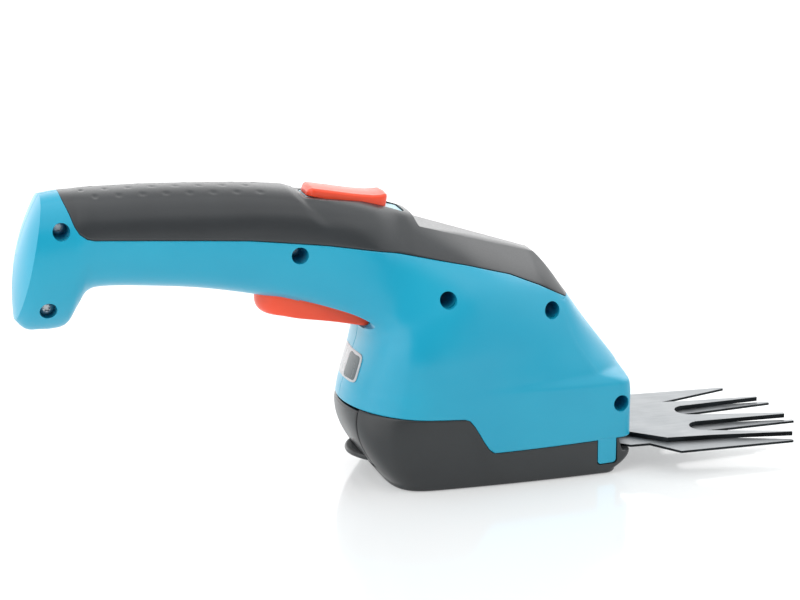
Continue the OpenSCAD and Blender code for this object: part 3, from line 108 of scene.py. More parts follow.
def combine(tree, operation, *values):
    return addNode(tree, "ShaderNodeMath", {"operation": operation}, dict(enumerate(values))).outputs[0]


def spread(tree, value, dark, light, low=0.3, high=0.7):  # value becomes a colour between two shades
    ramp = addNode(tree, "ShaderNodeValToRGB", inputs={0: value})
    for element, place, shade in zip(ramp.color_ramp.elements, (low, high), (dark, light)):
        element.position = place
        element.color = linear(shade)
    return ramp.outputs[0]


def surface(material, colour, rough, height, strength, deep, others):
    tree = material.node_tree
    bump = addNode(tree, "ShaderNodeBump", inputs={"Height": height, "Strength": strength, "Distance": deep})
    fill(tree, tree.nodes["Principled BSDF"], {
        "Base Color": colour, "Roughness": rough, "Normal": bump.outputs[0], **others})
    return material


# materials

def mouldedPlastic(name, dark, light, cloudMm, grainMm, rough, bump, coat=0, ior=1.5, coatRough=0.24):
    # thermoplastic out of a spark-eroded mould: even satin sheen, fine grain, slight cloud in the colour
    material, tree, place = startMaterial(name)
    cloud, grain = noise(tree, place, cloudMm, 3), noise(tree, place, grainMm, 2)
    others = {"IOR": ior}
    if coat:
        others |= {"Coat Weight": coat, "Coat Roughness": coatRough}
    return surface(material, spread(tree, cloud, dark, light), ranged(tree, cloud, *rough, 0.25, 0.75),
                   grain, bump, grainMm * mm * 0.2, others)


def plainMetal(name, dark, light, stainMm, lineMm, rough, bump=0.15, deepMm=0.01):
    # turned, drawn or plated metal: fine lines, small stains, sharp glints
    material, tree, place = startMaterial(name)
    stain, fine = noise(tree, place, stainMm, 5), noise(tree, place, lineMm, 2)
    return surface(material, spread(tree, stain, dark, light), ranged(tree, stain, *rough, 0.3, 0.7),
                   fine, bump, deepMm * mm, {"Metallic": 1})


def gripRubber(name, look):
    # soft TPE moulded over the grip: dark, with a fine leathery grain and a dull shine
    material, tree, place = startMaterial(name)
    cloud, grain = noise(tree, place, look["cloudMm"], 3), noise(tree, place, look["grainMm"], 3)
    return surface(material, spread(tree, cloud, look["dark"], look["light"]),
                   ranged(tree, grain, *look["rough"], 0.3, 0.7),
                   grain, look["bump"], look["grainMm"] * mm * 0.25, look["others"])


def groundSteel(name, look):
    # ground steel sheet: long scratches along the blade and a film of oil; its sides, where the normal is not upright,
    # carry a painted shade in their colour
    material, tree, place = startMaterial(name)
    along = addNode(tree, "ShaderNodeMapping", inputs={
        "Vector": place, "Scale": (1 / look["scratchLongMm"], 1 / look["scratchMm"], 1 / look["scratchMm"])})
    scratch, stain = noise(tree, along.outputs[0], 1, 4), noise(tree, place, look["stainMm"], 4)
    face = spread(tree, scratch, look["dark"], look["light"], 0.25, 0.75)
    # painted shade: the sides of the blade sheet get this dark colour, while the upright faces keep the scratched grey
    edge = spread(tree, stain, look["paintedShadeDark"], look["paintedShadeLight"], 0.35, 0.65)
    normal = addNode(tree, "ShaderNodeNewGeometry").outputs["True Normal"]
    level = combine(tree, "ABSOLUTE", addNode(tree, "ShaderNodeSeparateXYZ", inputs={0: normal}).outputs[2])
    # mask of the upright faces; everything else gets the painted shade
    litFaceMask = ranged(tree, level, 0, 1, 0.5, 0.85)
    both = addNode(tree, "ShaderNodeMix", {"data_type": "RGBA"}, {0: litFaceMask, 6: edge, 7: face}).outputs[2]
    return surface(material, both, ranged(tree, stain, *look["rough"], 0.3, 0.7),
                   scratch, look["bump"], look["deepMm"] * mm, {"Metallic": look["metal"]})


# name, dark and light shade, cloud and grain in mm, roughness, bump, coat, index
plastics = {
    "housing_blue": ("moulded ABS blue", "#0FA1C4", "#19A9CA", 45, 0.9, (0.3, 0.36), 0.1, 0.4, 1.4),
    "base_grey": ("moulded PP dark grey", "#25282A", "#2B2E30", 30, 0.8, (0.34, 0.42), 0.14, 0.35, 1.4),
    "orange": ("moulded ABS orange", "#FD4A29", "#FF5532", 20, 0.7, (0.32, 0.4), 0.12, 0.35, 1.4),
    "bed_blue": ("moulded POM pale blue", "#A9DCEA", "#BDE6F0", 12, 0.8, (0.3, 0.4), 0.1),
    "nylon": ("moulded nylon natural", "#DDD8C8", "#EAE6DA", 8, 0.5, (0.4, 0.5), 0.1),
    "black_plastic": ("moulded PBT black", "#17181A", "#222427", 8, 0.5, (0.35, 0.5), 0.15),
    "red_plastic": ("moulded POM red", "#B8231B", "#CB3226", 4, 0.4, (0.3, 0.4), 0.1),
    "cell_wrap": ("shrunk PVC sleeve", "#2C6B46", "#357A52", 12, 0.6, (0.2, 0.32), 0.08),
    "board_green": ("solder mask on glass epoxy", "#0F5A2C", "#176B38", 5, 0.6, (0.22, 0.36), 0.15),
    "label_white": ("polyester film white", "#B4BABD", "#C2C8CA", 6, 0.5, (0.2, 0.3), 0.05),
    "red_lead": ("PVC insulation red", "#A8201B", "#C02A22", 5, 0.4, (0.35, 0.45), 0.1),
    "black_lead": ("PVC insulation black", "#161718", "#222325", 5, 0.4, (0.35, 0.45), 0.1),
}
# name, dark and light shade, stains and lines in mm, roughness
metals = {
    "bright_steel": ("turned bright steel", "#B9BBBD", "#D2D4D5", 3, 0.2, (0.2, 0.32)),
    "spring_steel": ("drawn spring wire", "#8F9294", "#B5B8BA", 2, 0.15, (0.25, 0.4)),
    "nickel": ("nickel plate", "#BDB7A8", "#D3CEC2", 3, 0.2, (0.18, 0.28)),
    "zinc_steel": ("zinc plated steel", "#C3C7CB", "#E2E5E8", 2, 0.2, (0.32, 0.46)),
    "plate_metal": ("diecast zinc", "#8C8F92", "#A9ACAF", 6, 0.5, (0.4, 0.55)),
    "brass": ("cut brass", "#B8923F", "#D6B45E", 2, 0.2, (0.22, 0.35)),
}
gripLook = {
    "dark": "#272A2D", "light": "#2E3235", "cloudMm": 35, "grainMm": 0.7, "rough": (0.36, 0.46), "bump": 0.16,
    "others": {"Sheen Weight": 0.05, "Sheen Roughness": 0.35, "Coat Weight": 0.5, "Coat Roughness": 0.27, "IOR": 1.42},
}
# the two dark shades for the blade's sides are painted shade, not a colour of the steel
bladeLook = {
    "dark": "#94979A", "light": "#A8ABAD", "paintedShadeDark": "#1B1E20", "paintedShadeLight": "#2C3033", "scratchMm": 0.4,
    "scratchLongMm": 14, "stainMm": 9, "rough": (0.38, 0.5), "bump": 0.25, "deepMm": 0.02, "metal": 0.85,
}
finishes = {slot: mouldedPlastic(*row) for slot, row in plastics.items()}
finishes |= {slot: plainMetal(*row) for slot, row in metals.items()}
finishes["grip_grey"] = gripRubber("moulded TPE grey", gripLook)
finishes["blade_steel"] = groundSteel("ground carbon steel", bladeLook)
panelGrey = mouldedPlastic("polyester film grey", "#3C4A4E", "#4A585C", 4, 0.5, (0.2, 0.3), 0.05)
print("materials made:", len(finishes))


# mesh helpers

def meshObject(name, points, faces, slot, body, *replaced):
    mesh = bpy.data.meshes.new(name)
    mesh.from_pydata([tuple(c * mm for c in p) for p in points], [], faces)
    mesh.update()
    thing = bpy.data.objects.new(name, mesh)
    bpy.context.scene.collection.objects.link(thing)
    cleanMesh(thing)
    if slot:
        mesh.materials.append(finishes[slot])
        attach(thing, body)
        if replaced:
            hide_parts(*replaced)
    return thing


def slabFaces(rows, cols):  # closed solid between two grids of points
    half = rows * cols
    faces = []
    for i in range(rows - 1):
        for j in range(cols - 1):
            a, b = i * cols + j, (i + 1) * cols + j
            faces.append((a, a + 1, b + 1, b))
            faces.append((half + a, half + b, half + b + 1, half + a + 1))
        a, b = i * cols, (i + 1) * cols
        faces.append((a, b, half + b, half + a))
        e, f = a + cols - 1, b + cols - 1
        faces.append((e, half + e, half + f, f))
    for j in range(cols - 1):
        faces.append((j, half + j, half + j + 1, j + 1))
        a = (rows - 1) * cols + j
        faces.append((a, a + 1, half + a + 1, half + a))
    return faces


def cleanMesh(thing, sharpAngle=35):  # merge doubles, face outwards, smooth with sharp creases
    work = bmesh.new()
    work.from_mesh(thing.data)
    bmesh.ops.remove_doubles(work, verts=work.verts, dist=1e-6)
    bmesh.ops.dissolve_degenerate(work, edges=work.edges, dist=1e-7)
    bmesh.ops.recalc_face_normals(work, faces=work.faces)
    for face in work.faces:
        face.smooth = True
    for edge in work.edges:
        if len(edge.link_faces) == 2:
            edge.smooth = edge.calc_face_angle(0) < radians(sharpAngle)
    work.to_mesh(thing.data)
    work.free()


def loftFaces(rings, around, capped=True):  # closed rings of points, one after another
    faces = []
    for i in range(rings - 1):
        for j in range(around):
            a, b = i * around + j, i * around + (j + 1) % around
            faces.append((a, b, b + around, a + around))
    if capped:
        last = (rings - 1) * around
        faces += [tuple(range(around - 1, -1, -1)), tuple(range(last, last + around))]
    return faces


def circle(radius, sides, x=0, z=0):
    turns = [2 * pi * k / sides for k in range(sides)]
    return [(x + radius * cos(a), z + radius * sin(a)) for a in turns]


def prism(outline, y0, y1):  # side-view outline in X and Z, pulled along Y
    return [(x, y, z) for y in (y0, y1) for x, z in outline], loftFaces(2, len(outline))


def bar(x, z, radius, y0, y1, sides=40):  # round bar along Y
    return prism(circle(radius, sides, x, z), y0, y1)


def post(x, radius, z0, z1, sides=40):  # round post on the middle plane
    return [(x + a, b, z) for z in (z0, z1) for a, b in circle(radius, sides)], loftFaces(2, sides)


def several(parts):  # many point and face sets as one
    points, faces = [], []
    for p, f in parts:
        faces += [tuple(i + len(points) for i in face) for face in f]
        points += p
    return points, faces


def change(thing, operation, parts):
    tool = meshObject("tool", *several(parts), None, None)
    step = thing.modifiers.new("cut", "BOOLEAN")
    step.operation = operation
    step.solver = "EXACT"
    step.object = tool
    bpy.context.view_layer.update()
    result = bpy.data.meshes.new_from_object(thing.evaluated_get(bpy.context.evaluated_depsgraph_get()))
    old, materials = thing.data, list(thing.data.materials)
    thing.modifiers.clear()
    thing.data = result
    result.materials.clear()
    for material in materials:
        result.materials.append(material)
    for face in result.polygons:
        face.material_index = 0
    bpy.data.meshes.remove(old)
    bpy.data.objects.remove(tool)


def cut(thing, *parts):
    change(thing, "DIFFERENCE", parts)


def join(thing, *parts):
    change(thing, "UNION", parts)


clear, above = 40, 140  # past the part's sides and its top
fit = 0.05  # room round a pin or screw


# form of the shell, in millimetres

shell = {
    "height": 128, "handleLong": 132.9, "handleWide": 36, "bodyRear": 65.6, "nose": 53.4, "bodyWide": 74.6,
    "wall": 2.4, "capCrown": 4.2, "seamRear": 33.2, "seamFront": 15, "edgeRound": 0.7, "partRound": 0.3,
    "tail": 0.25, "corner": (0.05, 0.125), "cornerWide": (0.14, 0.42), "planTurns": (0.35, 0.75, 0.9),
    "facetZ": (38, 44, 54, 94), "facetFlat": 0.6, "seamX": (0.37, 0.48), "seamSlope": 0.08,
    "deck": ((0.224, 0.845), (0.672, 0.718)), "deckStep": (0.262, 0.874), "deckWide": (29, 11),
    "roof": (0.75, 1.8), "roofX": (0.1, 0.45, 0.12), "roofSoft": 9, "roofFrom": 10, "roofBlend": 6,
    "coverRows": (1.39, 15.24), "columnTurn": (0.8, 0.2), "turnBack": 0.04, "turnMost": 0.776,
    "endRows": (1.38, 1.4, 1.41, 1.42, 1.435, 1.45, 1.475, 1.525, 1.55, 1.6, 1.7, 1.8, 1.9, 15.23, 15.25),
}
# underside x and z, top x and z, width, roundness, taper, share of the body plan, front width
stationShares = (
    (-1, 0.596, -0.916, 0.99, -0.03, 2.3, 0.34, 0, 0.5), (-0.965, 0.564, -0.876, 0.996, 0, 2.3, 0.34, 0, 0.5),
    (-0.895, 0.561, -0.84, 0.998, 0, 2.4, 0.32, 0, 0.5), (-0.848, 0.575, -0.82, 0.998, 0, 2.4, 0.26, 0, 0.5),
    (-0.816, 0.63, -0.801, 0.999, 0, 2.4, 0.16, 0, 0.5), (-0.786, 0.678, -0.774, 1, 0, 2.4, 0.08, 0, 0.5),
    (-0.733, 0.69, -0.718, 1, 0, 2.4, 0.06, 0, 0.5), (-0.597, 0.681, -0.586, 0.999, 0, 2.4, 0.06, 0, 0.5),
    (-0.439, 0.663, -0.424, 0.992, 0.01, 2.4, 0.06, 0, 0.5), (-0.274, 0.632, -0.251, 0.978, 0.04, 2.6, 0.06, 0, 0.5),
    (-0.138, 0.598, -0.078, 0.954, 0.1, 2.8, 0.05, 0, 0.5), (-0.033, 0.558, 0.114, 0.91, 0.23, 2.9, 0.04, 0.05, 0.5),
    (0.039, 0.526, 0.324, 0.845, 0.44, 2.9, 0.02, 0.15, 0.5), (0.067, 0.502, 0.526, 0.784, 0.67, 2.8, 0, 0.32, 0.54),
    (0.066, 0.469, 0.68, 0.722, 0.85, 2.8, 0, 0.55, 0.6), (0.056, 0.436, 0.768, 0.615, 0.95, 2.8, 0, 0.8, 0.66),
    (0.045, 0.402, 0.848, 0.512, 1, 2.8, 0, 0.95, 0.71), (0.032, 0.366, 0.925, 0.418, 1, 2.8, 0, 1, 0.75),
    (0.02, 0.333, 0.982, 0.344, 1, 2.8, 0, 1, 0.78), (0.01, 0.306, 0.999, 0.286, 1, 2.8, 0, 1, 0.79),
    (0.004, 0.28, 1, 0.215, 1, 2.8, 0, 1, 0.79),
)
seamShares = (
    (-0.874, 1.05), (-0.857, 0.985), (-0.842, 0.947), (-0.83, 0.91), (-0.816, 0.885), (-0.795, 0.869),
    (-0.773, 0.863), (-0.609, 0.852), (-0.306, 0.832), (-0.063, 0.803), (0.165, 0.769), (0.405, 0.719),
    (0.56, 0.678), (0.676, 0.632), (0.764, 0.59), (0.84, 0.54),
)
screwShares = ((-0.869, 0.894), (-0.911, 0.642), (-0.153, 0.776), (0.320, 0.623), (0.704, 0.556), (0.955, 0.233))
wall = shell["wall"]


def sideX(s):
    return -shell["bodyRear"] + s * (shell["handleLong"] if s < 0 else shell["bodyRear"] + shell["nose"])


def sideZ(s):
    return s * shell["height"]


def sidePoints(shares):
    return [(sideX(a), sideZ(b)) for a, b in shares]


def spline(a, b, c, d, t):
    return 0.5 * (2 * b + (c - a) * t + (2 * a - 5 * b + 4 * c - d) * t * t + (3 * b - a - 3 * c + d) * t ** 3)


def between(line, i, t):  # on the smooth curve from point i of a line to the next
    near = [line[min(max(k, 0), len(line) - 1)] for k in range(i - 1, i + 3)]
    return tuple(spline(*values, t) for values in zip(*near))


def curved(line, steps=5):  # smooth line through points
    return [between(line, i, k / steps) for i in range(len(line) - 1) for k in range(steps)] + [line[-1]]


stations = [(sideX(r[0]), sideZ(r[1]), sideX(r[2]), sideZ(r[3]),
             lerp(shell["handleWide"], shell["bodyWide"], r[4]) / 2) + r[5:] for r in stationShares]
lastStation = len(stations) - 1
stationSeen = {}


def station(u):
    if u not in stationSeen:
        k = min(int(u), lastStation - 1)
        stationSeen[u] = between(stations, k, u - k)
    return stationSeen[u]


def bulged(c, n):  # sine or cosine of a rounder or squarer oval
    return copysign(abs(c) ** (2 / n), c)


def oval(q, n):
    return 0.5 - 0.5 * bulged(cos(pi * q), n), bulged(max(sin(pi * q), 0), n)


def plan(q, f, z, n=2):  # the slope above the nose has wider, flatter corners
    q0, q1, q2 = shell["planTurns"]
    low, edge, high, top = shell["facetZ"]
    facet = ease(z, low, edge) * (1 - ease(z, high, top))
    corner, wide = lerp(*shell["corner"], facet), lerp(*shell["cornerWide"], facet)
    if q < q0:
        a = pi / 2 * q / q0
        return shell["tail"] * (1 - max(cos(a), 0) ** (2 / n)), max(sin(a), 0) ** (2 / n)
    if q < q1:
        t = (q - q0) / (q1 - q0)
        return lerp(shell["tail"], 1 - corner, t), 1 - (1 - f) * t * t
    if q < q2:
        a = pi / 2 * (q - q1) / (q2 - q1)
        t, flat = (q - q1) / (q2 - q1), shell["facetFlat"] * facet
        return 1 - corner * (1 - lerp(sin(a), t, flat)), f - wide * lerp(1 - cos(a), t, flat)
    return 1, (f - wide) * (1 - q) / (1 - q2)


def section(r, q):
    o, p = oval(q, r[5]), plan(q, r[8], r[3])
    s, w = lerp(o[0], p[0], r[7]), lerp(o[1], p[1], r[7])
    return s, w * (1 - r[6] * max(0, 1 - 2 * s) ** 2)


deckA, deckB = sidePoints(shell["deck"])


def deckZ(x):
    return lerp(deckA[1], deckB[1], (x - deckA[0]) / (deckB[0] - deckA[0]))


def roofY(x, z):
    f = min(max((x - deckA[0]) / (deckB[0] - deckA[0]), 0), 1)
    edge = lerp(*shell["deckWide"], f) / 2
    fall = lerp(*shell["roof"], ease(x, sideX(shell["roofX"][0]), sideX(shell["roofX"][1])))
    far, soft = sideX(shell["roofX"][2]) - x, shell["roofSoft"]
    far = 0 if far < -soft else far if far > soft else (far + soft) ** 2 / (4 * soft)
    return max(edge + fall * (deckZ(x) - z) + 2 * far, shell["deckWide"][1] / 8)


def softMin(a, b, power):
    return 0 if a <= 0 else a * b / (a ** power + b ** power) ** (1 / power)


def skin(u, q, d=0):  # point of the right side, d inside the outer face
    r = station(u)
    k = section(r, q)
    e = d / hypot(r[2] - r[0], r[3] - r[1])
    s = lerp(e, 1 - e, k[0])
    x, z = lerp(r[0], r[2], s), lerp(r[1], r[3], s)
    y = k[1] * (r[4] - d)
    if u >= shell["roofFrom"]:
        y = softMin(y, roofY(x, z + d) - d / 2, shell["roofBlend"])
    if d > 0:
        z = min(z, deckZ(x) - d + max(deckA[0] - x, 0))
    return x, -y, z


def rearCap(c, q, d=0):  # crowned rear end, c from the rim to the middle
    r = station(0)
    middle = ((r[0] + r[2]) / 2, 0, (r[1] + r[3]) / 2)
    m = mix(skin(0, q, d), middle, c)
    long = hypot(r[3] - r[1], r[0] - r[2])
    rise = shell["capCrown"] * (1 - (1 - c) ** 2) - (d if c > 0 else 0)
    return m[0] - rise * (r[3] - r[1]) / long, m[1], m[2] - rise * (r[0] - r[2]) / long


def seamDrop(x):
    a, b = sideX(shell["seamX"][0]), sideX(shell["seamX"][1])
    rear = shell["seamRear"] * (1 - shell["seamSlope"] * min((x + shell["bodyRear"]) / (a + shell["bodyRear"]), 1))
    return lerp(rear, shell["seamFront"], ease(x, a, b))


def foot(q, d=0):
    r = station(lastStation)
    k = section(r, q)
    x = lerp(-shell["bodyRear"] + d, shell["nose"] - d, k[0])
    return x, -k[1] * (r[4] - d), seamDrop(x)


seamLine = sidePoints(seamShares)


def seamHeight(x):
    for (xa, za), (xb, zb) in zip(seamLine, seamLine[1:]):
        if x <= xb:
            return lerp(za, zb, max((x - xa) / (xb - xa), 0))
    return seamLine[-1][1]


seamSeen = {}


def topQ(u):  # where the housing ends under the grip cover
    if u < shell["coverRows"][0] or u > shell["coverRows"][1]:
        return 1

    def under(q):
        x, _, z = skin(u, q)
        return z <= seamHeight(x)
    if u not in seamSeen:
        seamSeen[u] = halve(0.3, 1, under)[1]
    return seamSeen[u]


def rolled(far, radius):  # sinking of a rounded rim at a distance from it
    return 0 if far >= radius else radius - sqrt(max(radius * radius - (radius - far) ** 2, 0))


def shellRows(first, last, density):  # even rows, with finer ones at the cover's ends
    marks = set(shell["endRows"]) | {i / density for i in range(lastStation * density + 1)}
    return [u for u in sorted(marks) if first <= u <= last]


def rimShares(n):  # even columns, with a few more beside a rounded rim
    fine = {0.0012, 0.0035, 0.007, 0.012}
    return sorted({i / n for i in range(n + 1)} | fine | {1 - f for f in fine})


def rimmed(form, row, q, top):  # a point of a row, sunk near the row's rims
    p = form(row, q)
    sink = rolled(dist(p, form(row, 0)), shell["partRound"])
    sink = max(sink, rolled(dist(p, form(row, top)), shell["edgeRound" if top < 1 else "partRound"]))
    return form(row, q, sink) if sink else p


def columnQ(u, s):  # columns keep their place across the cover's ends
    first, last = shell["coverRows"]
    share, rest = shell["columnTurn"]
    turn = min(topQ(min(max(u, first + 0.01), last - 0.01)) - shell["turnBack"], shell["turnMost"])
    return s / share * turn if s < share else lerp(turn, topQ(u), (s - share) / rest)


# housing halves

housing = {
    "rowsPerStation": 8, "columns": 96, "capRows": (0.02, 0.06, 0.15, 0.3, 0.45, 0.62, 0.78, 0.9, 0.985),
    "capRim": 0.9, "footRows": (0.12, 0.3, 0.5, 0.7, 0.82, 0.9, 0.95, 0.975, 0.99, 1), "footEnds": (0.2, 0.8),
    "well": 7, "boss": 8.9, "bossGap": 0.02, "bossIn": 0.4, "seat": 6, "screw": 2.9, "screwHead": 5.6,
    "slotWide": 20.6, "slotFrom": 60,
    "triggerSlot": ((-0.1888, 0.56), (-0.1888, 0.6935), (0.0942, 0.60), (0.0942, 0.5205),
                    (0.089, 0.516), (0.084, 0.5122), (0.0756, 0.5062), (0.066, 0.5025), (0.0, 0.48)),
    "hollow": ((-0.1418, 0.6169), (-0.0792, 0.5998), (-0.0006, 0.5746), (0.0416, 0.5586), (0.0663, 0.5461),
               (0.0815, 0.5358), (0.0868, 0.5265), (0.0825, 0.5169), (0.066, 0.505)),
    "hollowEnd": ((0.0, 0.48), (-0.15, 0.55)),
    "tongueX": (0.866, 0.937), "tongueZ": 4.8, "tongueIn": 0.1, "tongueThick": 1.68, "tongueRound": 1.6,
    "socketX": -0.925, "socket": 9, "socketTop": 78.3,
}


def findU(x, z):
    def behind(u):
        r = station(u)
        return (x - r[0]) * (r[3] - r[1]) > (z - r[1]) * (r[2] - r[0])
    return sum(halve(0, lastStation, behind)) / 2


def sideY(x, z):  # half width of the shell at a place of its side view
    u = findU(x, z)
    r = station(u)
    c = (r[2] - r[0], r[3] - r[1])
    s = ((x - r[0]) * c[0] + (z - r[1]) * c[1]) / (c[0] ** 2 + c[1] ** 2)
    if s <= 0 or s >= 1:
        return 0
    return -skin(u, halve(0, 1, lambda q: section(r, q)[0] < s, 16)[0])[1]


def bossEnd(x, z, radius):  # a boss stops short of the skin all round
    return min(sideY(a, b) for a, b in circle(radius, 16, x, z)) - housing["bossIn"]


footSteps = 240
footLine = [foot(j / footSteps) for j in range(footSteps + 1)]


def footY(x):
    for p, q in zip(footLine, footLine[1:]):
        if p[0] <= x < q[0]:
            return -lerp(p[1], q[1], (x - p[0]) / (q[0] - p[0]))
    return 0


def tongueParts(side, grow=0):  # tongue that laps the base, with rounded lower corners
    x0, x1 = sideX(housing["tongueX"][0]) - grow, sideX(housing["tongueX"][1]) + grow
    z0, z1 = housing["tongueZ"] - grow, shell["seamFront"] + (1 if grow else wall)
    radius = housing["tongueRound"]
    outline = [(x0, z1)]
    for cx, a0 in ((x0 + radius, pi), (x1 - radius, 1.5 * pi)):
        for k in range(7):
            a = a0 + k * pi / 12
            outline.append((cx + radius * cos(a), z0 + radius + radius * sin(a)))
    outline.append((x1, z1))
    out = 1 if grow else -housing["tongueIn"]
    deep = housing["tongueIn"] + housing["tongueThick"] + grow
    points = [(x, side * (footY(x) + away), z) for away in (out, -deep) for x, z in outline]
    return points, loftFaces(2, len(outline))


screwPoints = sidePoints(screwShares)
shares = rimShares(housing["columns"])
rows = shellRows(0, lastStation, housing["rowsPerStation"])


def housingGrids(side):
    outer, inner = [], []
    for c in reversed(housing["capRows"]):
        outer.append([rimmed(rearCap, c, q, 1) if c < housing["capRim"] else rearCap(c, q) for q in shares])
        inner.append([rearCap(c, q, wall) for q in shares])
    for u in rows:
        outer.append([rimmed(skin, u, columnQ(u, s), topQ(u)) for s in shares])
        inner.append([skin(u, columnQ(u, s), wall) for s in shares])
    for t in housing["footRows"]:
        line = []
        for q in shares:
            p = mix(skin(lastStation, q), foot(q), t)
            sink = rolled(dist(p, foot(q)), shell["edgeRound"])
            if q < housing["footEnds"][0] or q > housing["footEnds"][1]:
                sink = max(sink, rolled(abs(p[1]), shell["partRound"]))
            line.append(mix(skin(lastStation, q, sink), foot(q, sink), t))
        outer.append(line)
        inner.append([mix(skin(lastStation, q, wall), foot(q, wall), t) for q in shares])
    points = [(x, -side * y, z) for row in outer + inner for x, y, z in row]
    return points, slabFaces(len(outer), len(shares))


def buildHousing(name, side, node):  # side -1 is the right half
    thing = meshObject(name, *housingGrids(side), "housing_blue", "frame", node)
    boss, slot, seat = housing["boss"] / 2, housing["slotWide"] / 2, housing["seat"]
    gap, low = side * housing["bossGap"], housing["slotFrom"]
    slotLine = sidePoints(housing["triggerSlot"])
    hollow = curved(sidePoints(housing["hollow"])) + sidePoints(housing["hollowEnd"])
    join(thing, *[bar(x, z, boss, gap, side * bossEnd(x, z, boss)) for x, z in screwPoints], tongueParts(side))
    cut(thing, prism(hollow, -clear, clear))
    cut(thing, prism(slotLine, -slot, slot))
    cut(thing, post(slotLine[0][0], slot, low, slotLine[1][1]))
    cut(thing, post(sideX(housing["socketX"]), housing["socket"] / 2, low, housing["socketTop"]))
    if side < 0:
        cut(thing, *[bar(x, z, housing["well"] / 2, -shell["bodyWide"], -seat) for x, z in screwPoints])
    cut(thing, *[bar(x, z, housing["screw"] / 2 + fit, -seat - 1, seat + 1, 20) for x, z in screwPoints])
    cleanMesh(thing)
    return thing


rightHousing = buildHousing("rightHousing", -1, "right_housing")
leftHousing = buildHousing("leftHousing", 1, "left_housing")
print("housing halves:", len(rightHousing.data.polygons), len(leftHousing.data.polygons), "faces")


# grip cover with the slider's bezel and the front deck

cover = {
    "rowsPerStation": 22, "columns": 96, "crowd": 1.25, "rows": (1.4, 15.23), "swellX": (-135, -95),
    "swellZ": (108, 119), "stepX": -88.5, "stepLean": 0.8, "stepTop": 123.5, "stepWide": 5.5, "stepUp": 0.35,
    "stepDown": 0.55, "stepFade": (3, 14), "dimple": 1.7, "dimpleDeep": 0.32, "dimpleGain": 1.2,
    "dimplePitch": 9.5, "dimpleRows": (-9, -3, 3, 9), "dimplesX": (-172, -98), "dimplesZ": 112,
    "trackX": 0.047, "trackZ": 0.9071, "slope": 12, "trackFrom": -21.08, "trackTo": 21.32, "trackWide": 15.8,
    "trackCorner": 2.5, "trackHigh": 30, "bed": 1.6, "bezel": (0.05, 1.85), "bezelX": 2.03,
    "bezelBack": (1.2, 2, 4.8), "bezelSoft": 0.25, "deckFillet": ((0, 0), (0.6, 0.5), (1.3, 1.9)), "deckTo": 60,
}
trackTurn = Matrix.Translation(Vector((sideX(cover["trackX"]), 0, sideZ(cover["trackZ"])))) @ Matrix.Rotation(
    radians(cover["slope"]), 4, "Y")


def onTrack(points):
    return [tuple(trackTurn @ Vector(p)) for p in points]


def trackPart(points, faces):
    return onTrack(points), faces


def gripLift(x, y, z):  # swell of the grip behind the bezel, and its dimples
    behind = x - (cover["stepX"] + max(cover["stepTop"] - z, 0) * cover["stepLean"])
    high = ease(z, *cover["swellZ"])
    up = cover["stepUp"] * ease(x, *cover["swellX"]) * high
    down = -cover["stepDown"] * high * (1 - ease(behind, *cover["stepFade"]))
    lift = lerp(up, down, ease(behind, 0, cover["stepWide"]))
    if cover["dimplesX"][0] < x < cover["dimplesX"][1] and z > cover["dimplesZ"]:
        pitch = cover["dimplePitch"]
        for i, across in enumerate(cover["dimpleRows"]):
            near = (x - pitch / 2 * (i % 2)) % pitch - pitch / 2
            far = hypot(near, y - across) / cover["dimple"]
            if far < 1:
                lift -= cover["dimpleDeep"] * (1 - far * far) ** 2 * cover["dimpleGain"]
    return lift


def coverRow(u, d):
    top, half = topQ(u), cover["columns"] // 2
    line = []
    for j in range(-half, half + 1):
        side, deep = 1 if j > 0 else -1, d
        q = lerp(1, top, 1 - (1 - abs(j) / half) ** cover["crowd"])
        if d == 0:
            x, y, z = skin(u, q)
            deep = rolled(dist((x, y, z), skin(u, top)), shell["edgeRound"]) - gripLift(x, y * side, z)
        x, y, z = skin(u, q, deep)
        line.append((x, y * side, z))
    return line


def roundedBox(x0, x1, half, z0, z1, radius):  # plan with rounded corners, in the track's own frame
    outline = []
    for cx, cy, a0 in ((x1 - radius, half - radius, 0), (x0 + radius, half - radius, 0.5),
                       (x0 + radius, radius - half, 1), (x1 - radius, radius - half, 1.5)):
        for k in range(9):
            a = (a0 + k / 16) * pi
            outline.append((cx + radius * cos(a), cy + radius * sin(a)))
    return [(x, y, z) for z in (z0, z1) for x, y in outline], loftFaces(2, len(outline))


coverRows = shellRows(*cover["rows"], cover["rowsPerStation"])
coverPoints = [p for d in (0, wall) for u in coverRows for p in coverRow(u, d)]
coverFaces = slabFaces(len(coverRows), cover["columns"] + 1)
gripCover = meshObject("gripCover", coverPoints, coverFaces, "grip_grey", "frame", "grip_cover")
stepX, stepZ = sideX(shell["deckStep"][0]), sideZ(shell["deckStep"][1])
deckCut = [(stepX - back, deckZ(stepX) + up) for back, up in cover["deckFillet"]]
deckCut += [(stepX - wall, stepZ), (stepX - wall, above), (cover["deckTo"], above),
            (cover["deckTo"], deckZ(cover["deckTo"]))]
trackBox = roundedBox(cover["trackFrom"], cover["trackTo"], cover["trackWide"] / 2, -cover["bed"] - wall,
                      cover["trackHigh"], cover["trackCorner"])
bezelRear, bezelSide = cover["bezel"]
near, soft, far = (cover["trackFrom"] - back for back in cover["bezelBack"])
bezelCut = [(cover["bezelX"], bezelSide), (near, bezelRear), (soft, bezelRear + cover["bezelSoft"]),
            (far, bezelRear + wall), (far, cover["trackHigh"]), (cover["bezelX"], cover["trackHigh"])]
cut(gripCover, prism(deckCut, -clear, clear))
cut(gripCover, trackPart(*prism(bezelCut, -clear, clear)))
cut(gripCover, trackPart(*trackBox))
cleanMesh(gripCover)
print("grip cover:", len(gripCover.data.polygons), "faces")


# base cover and latch lever

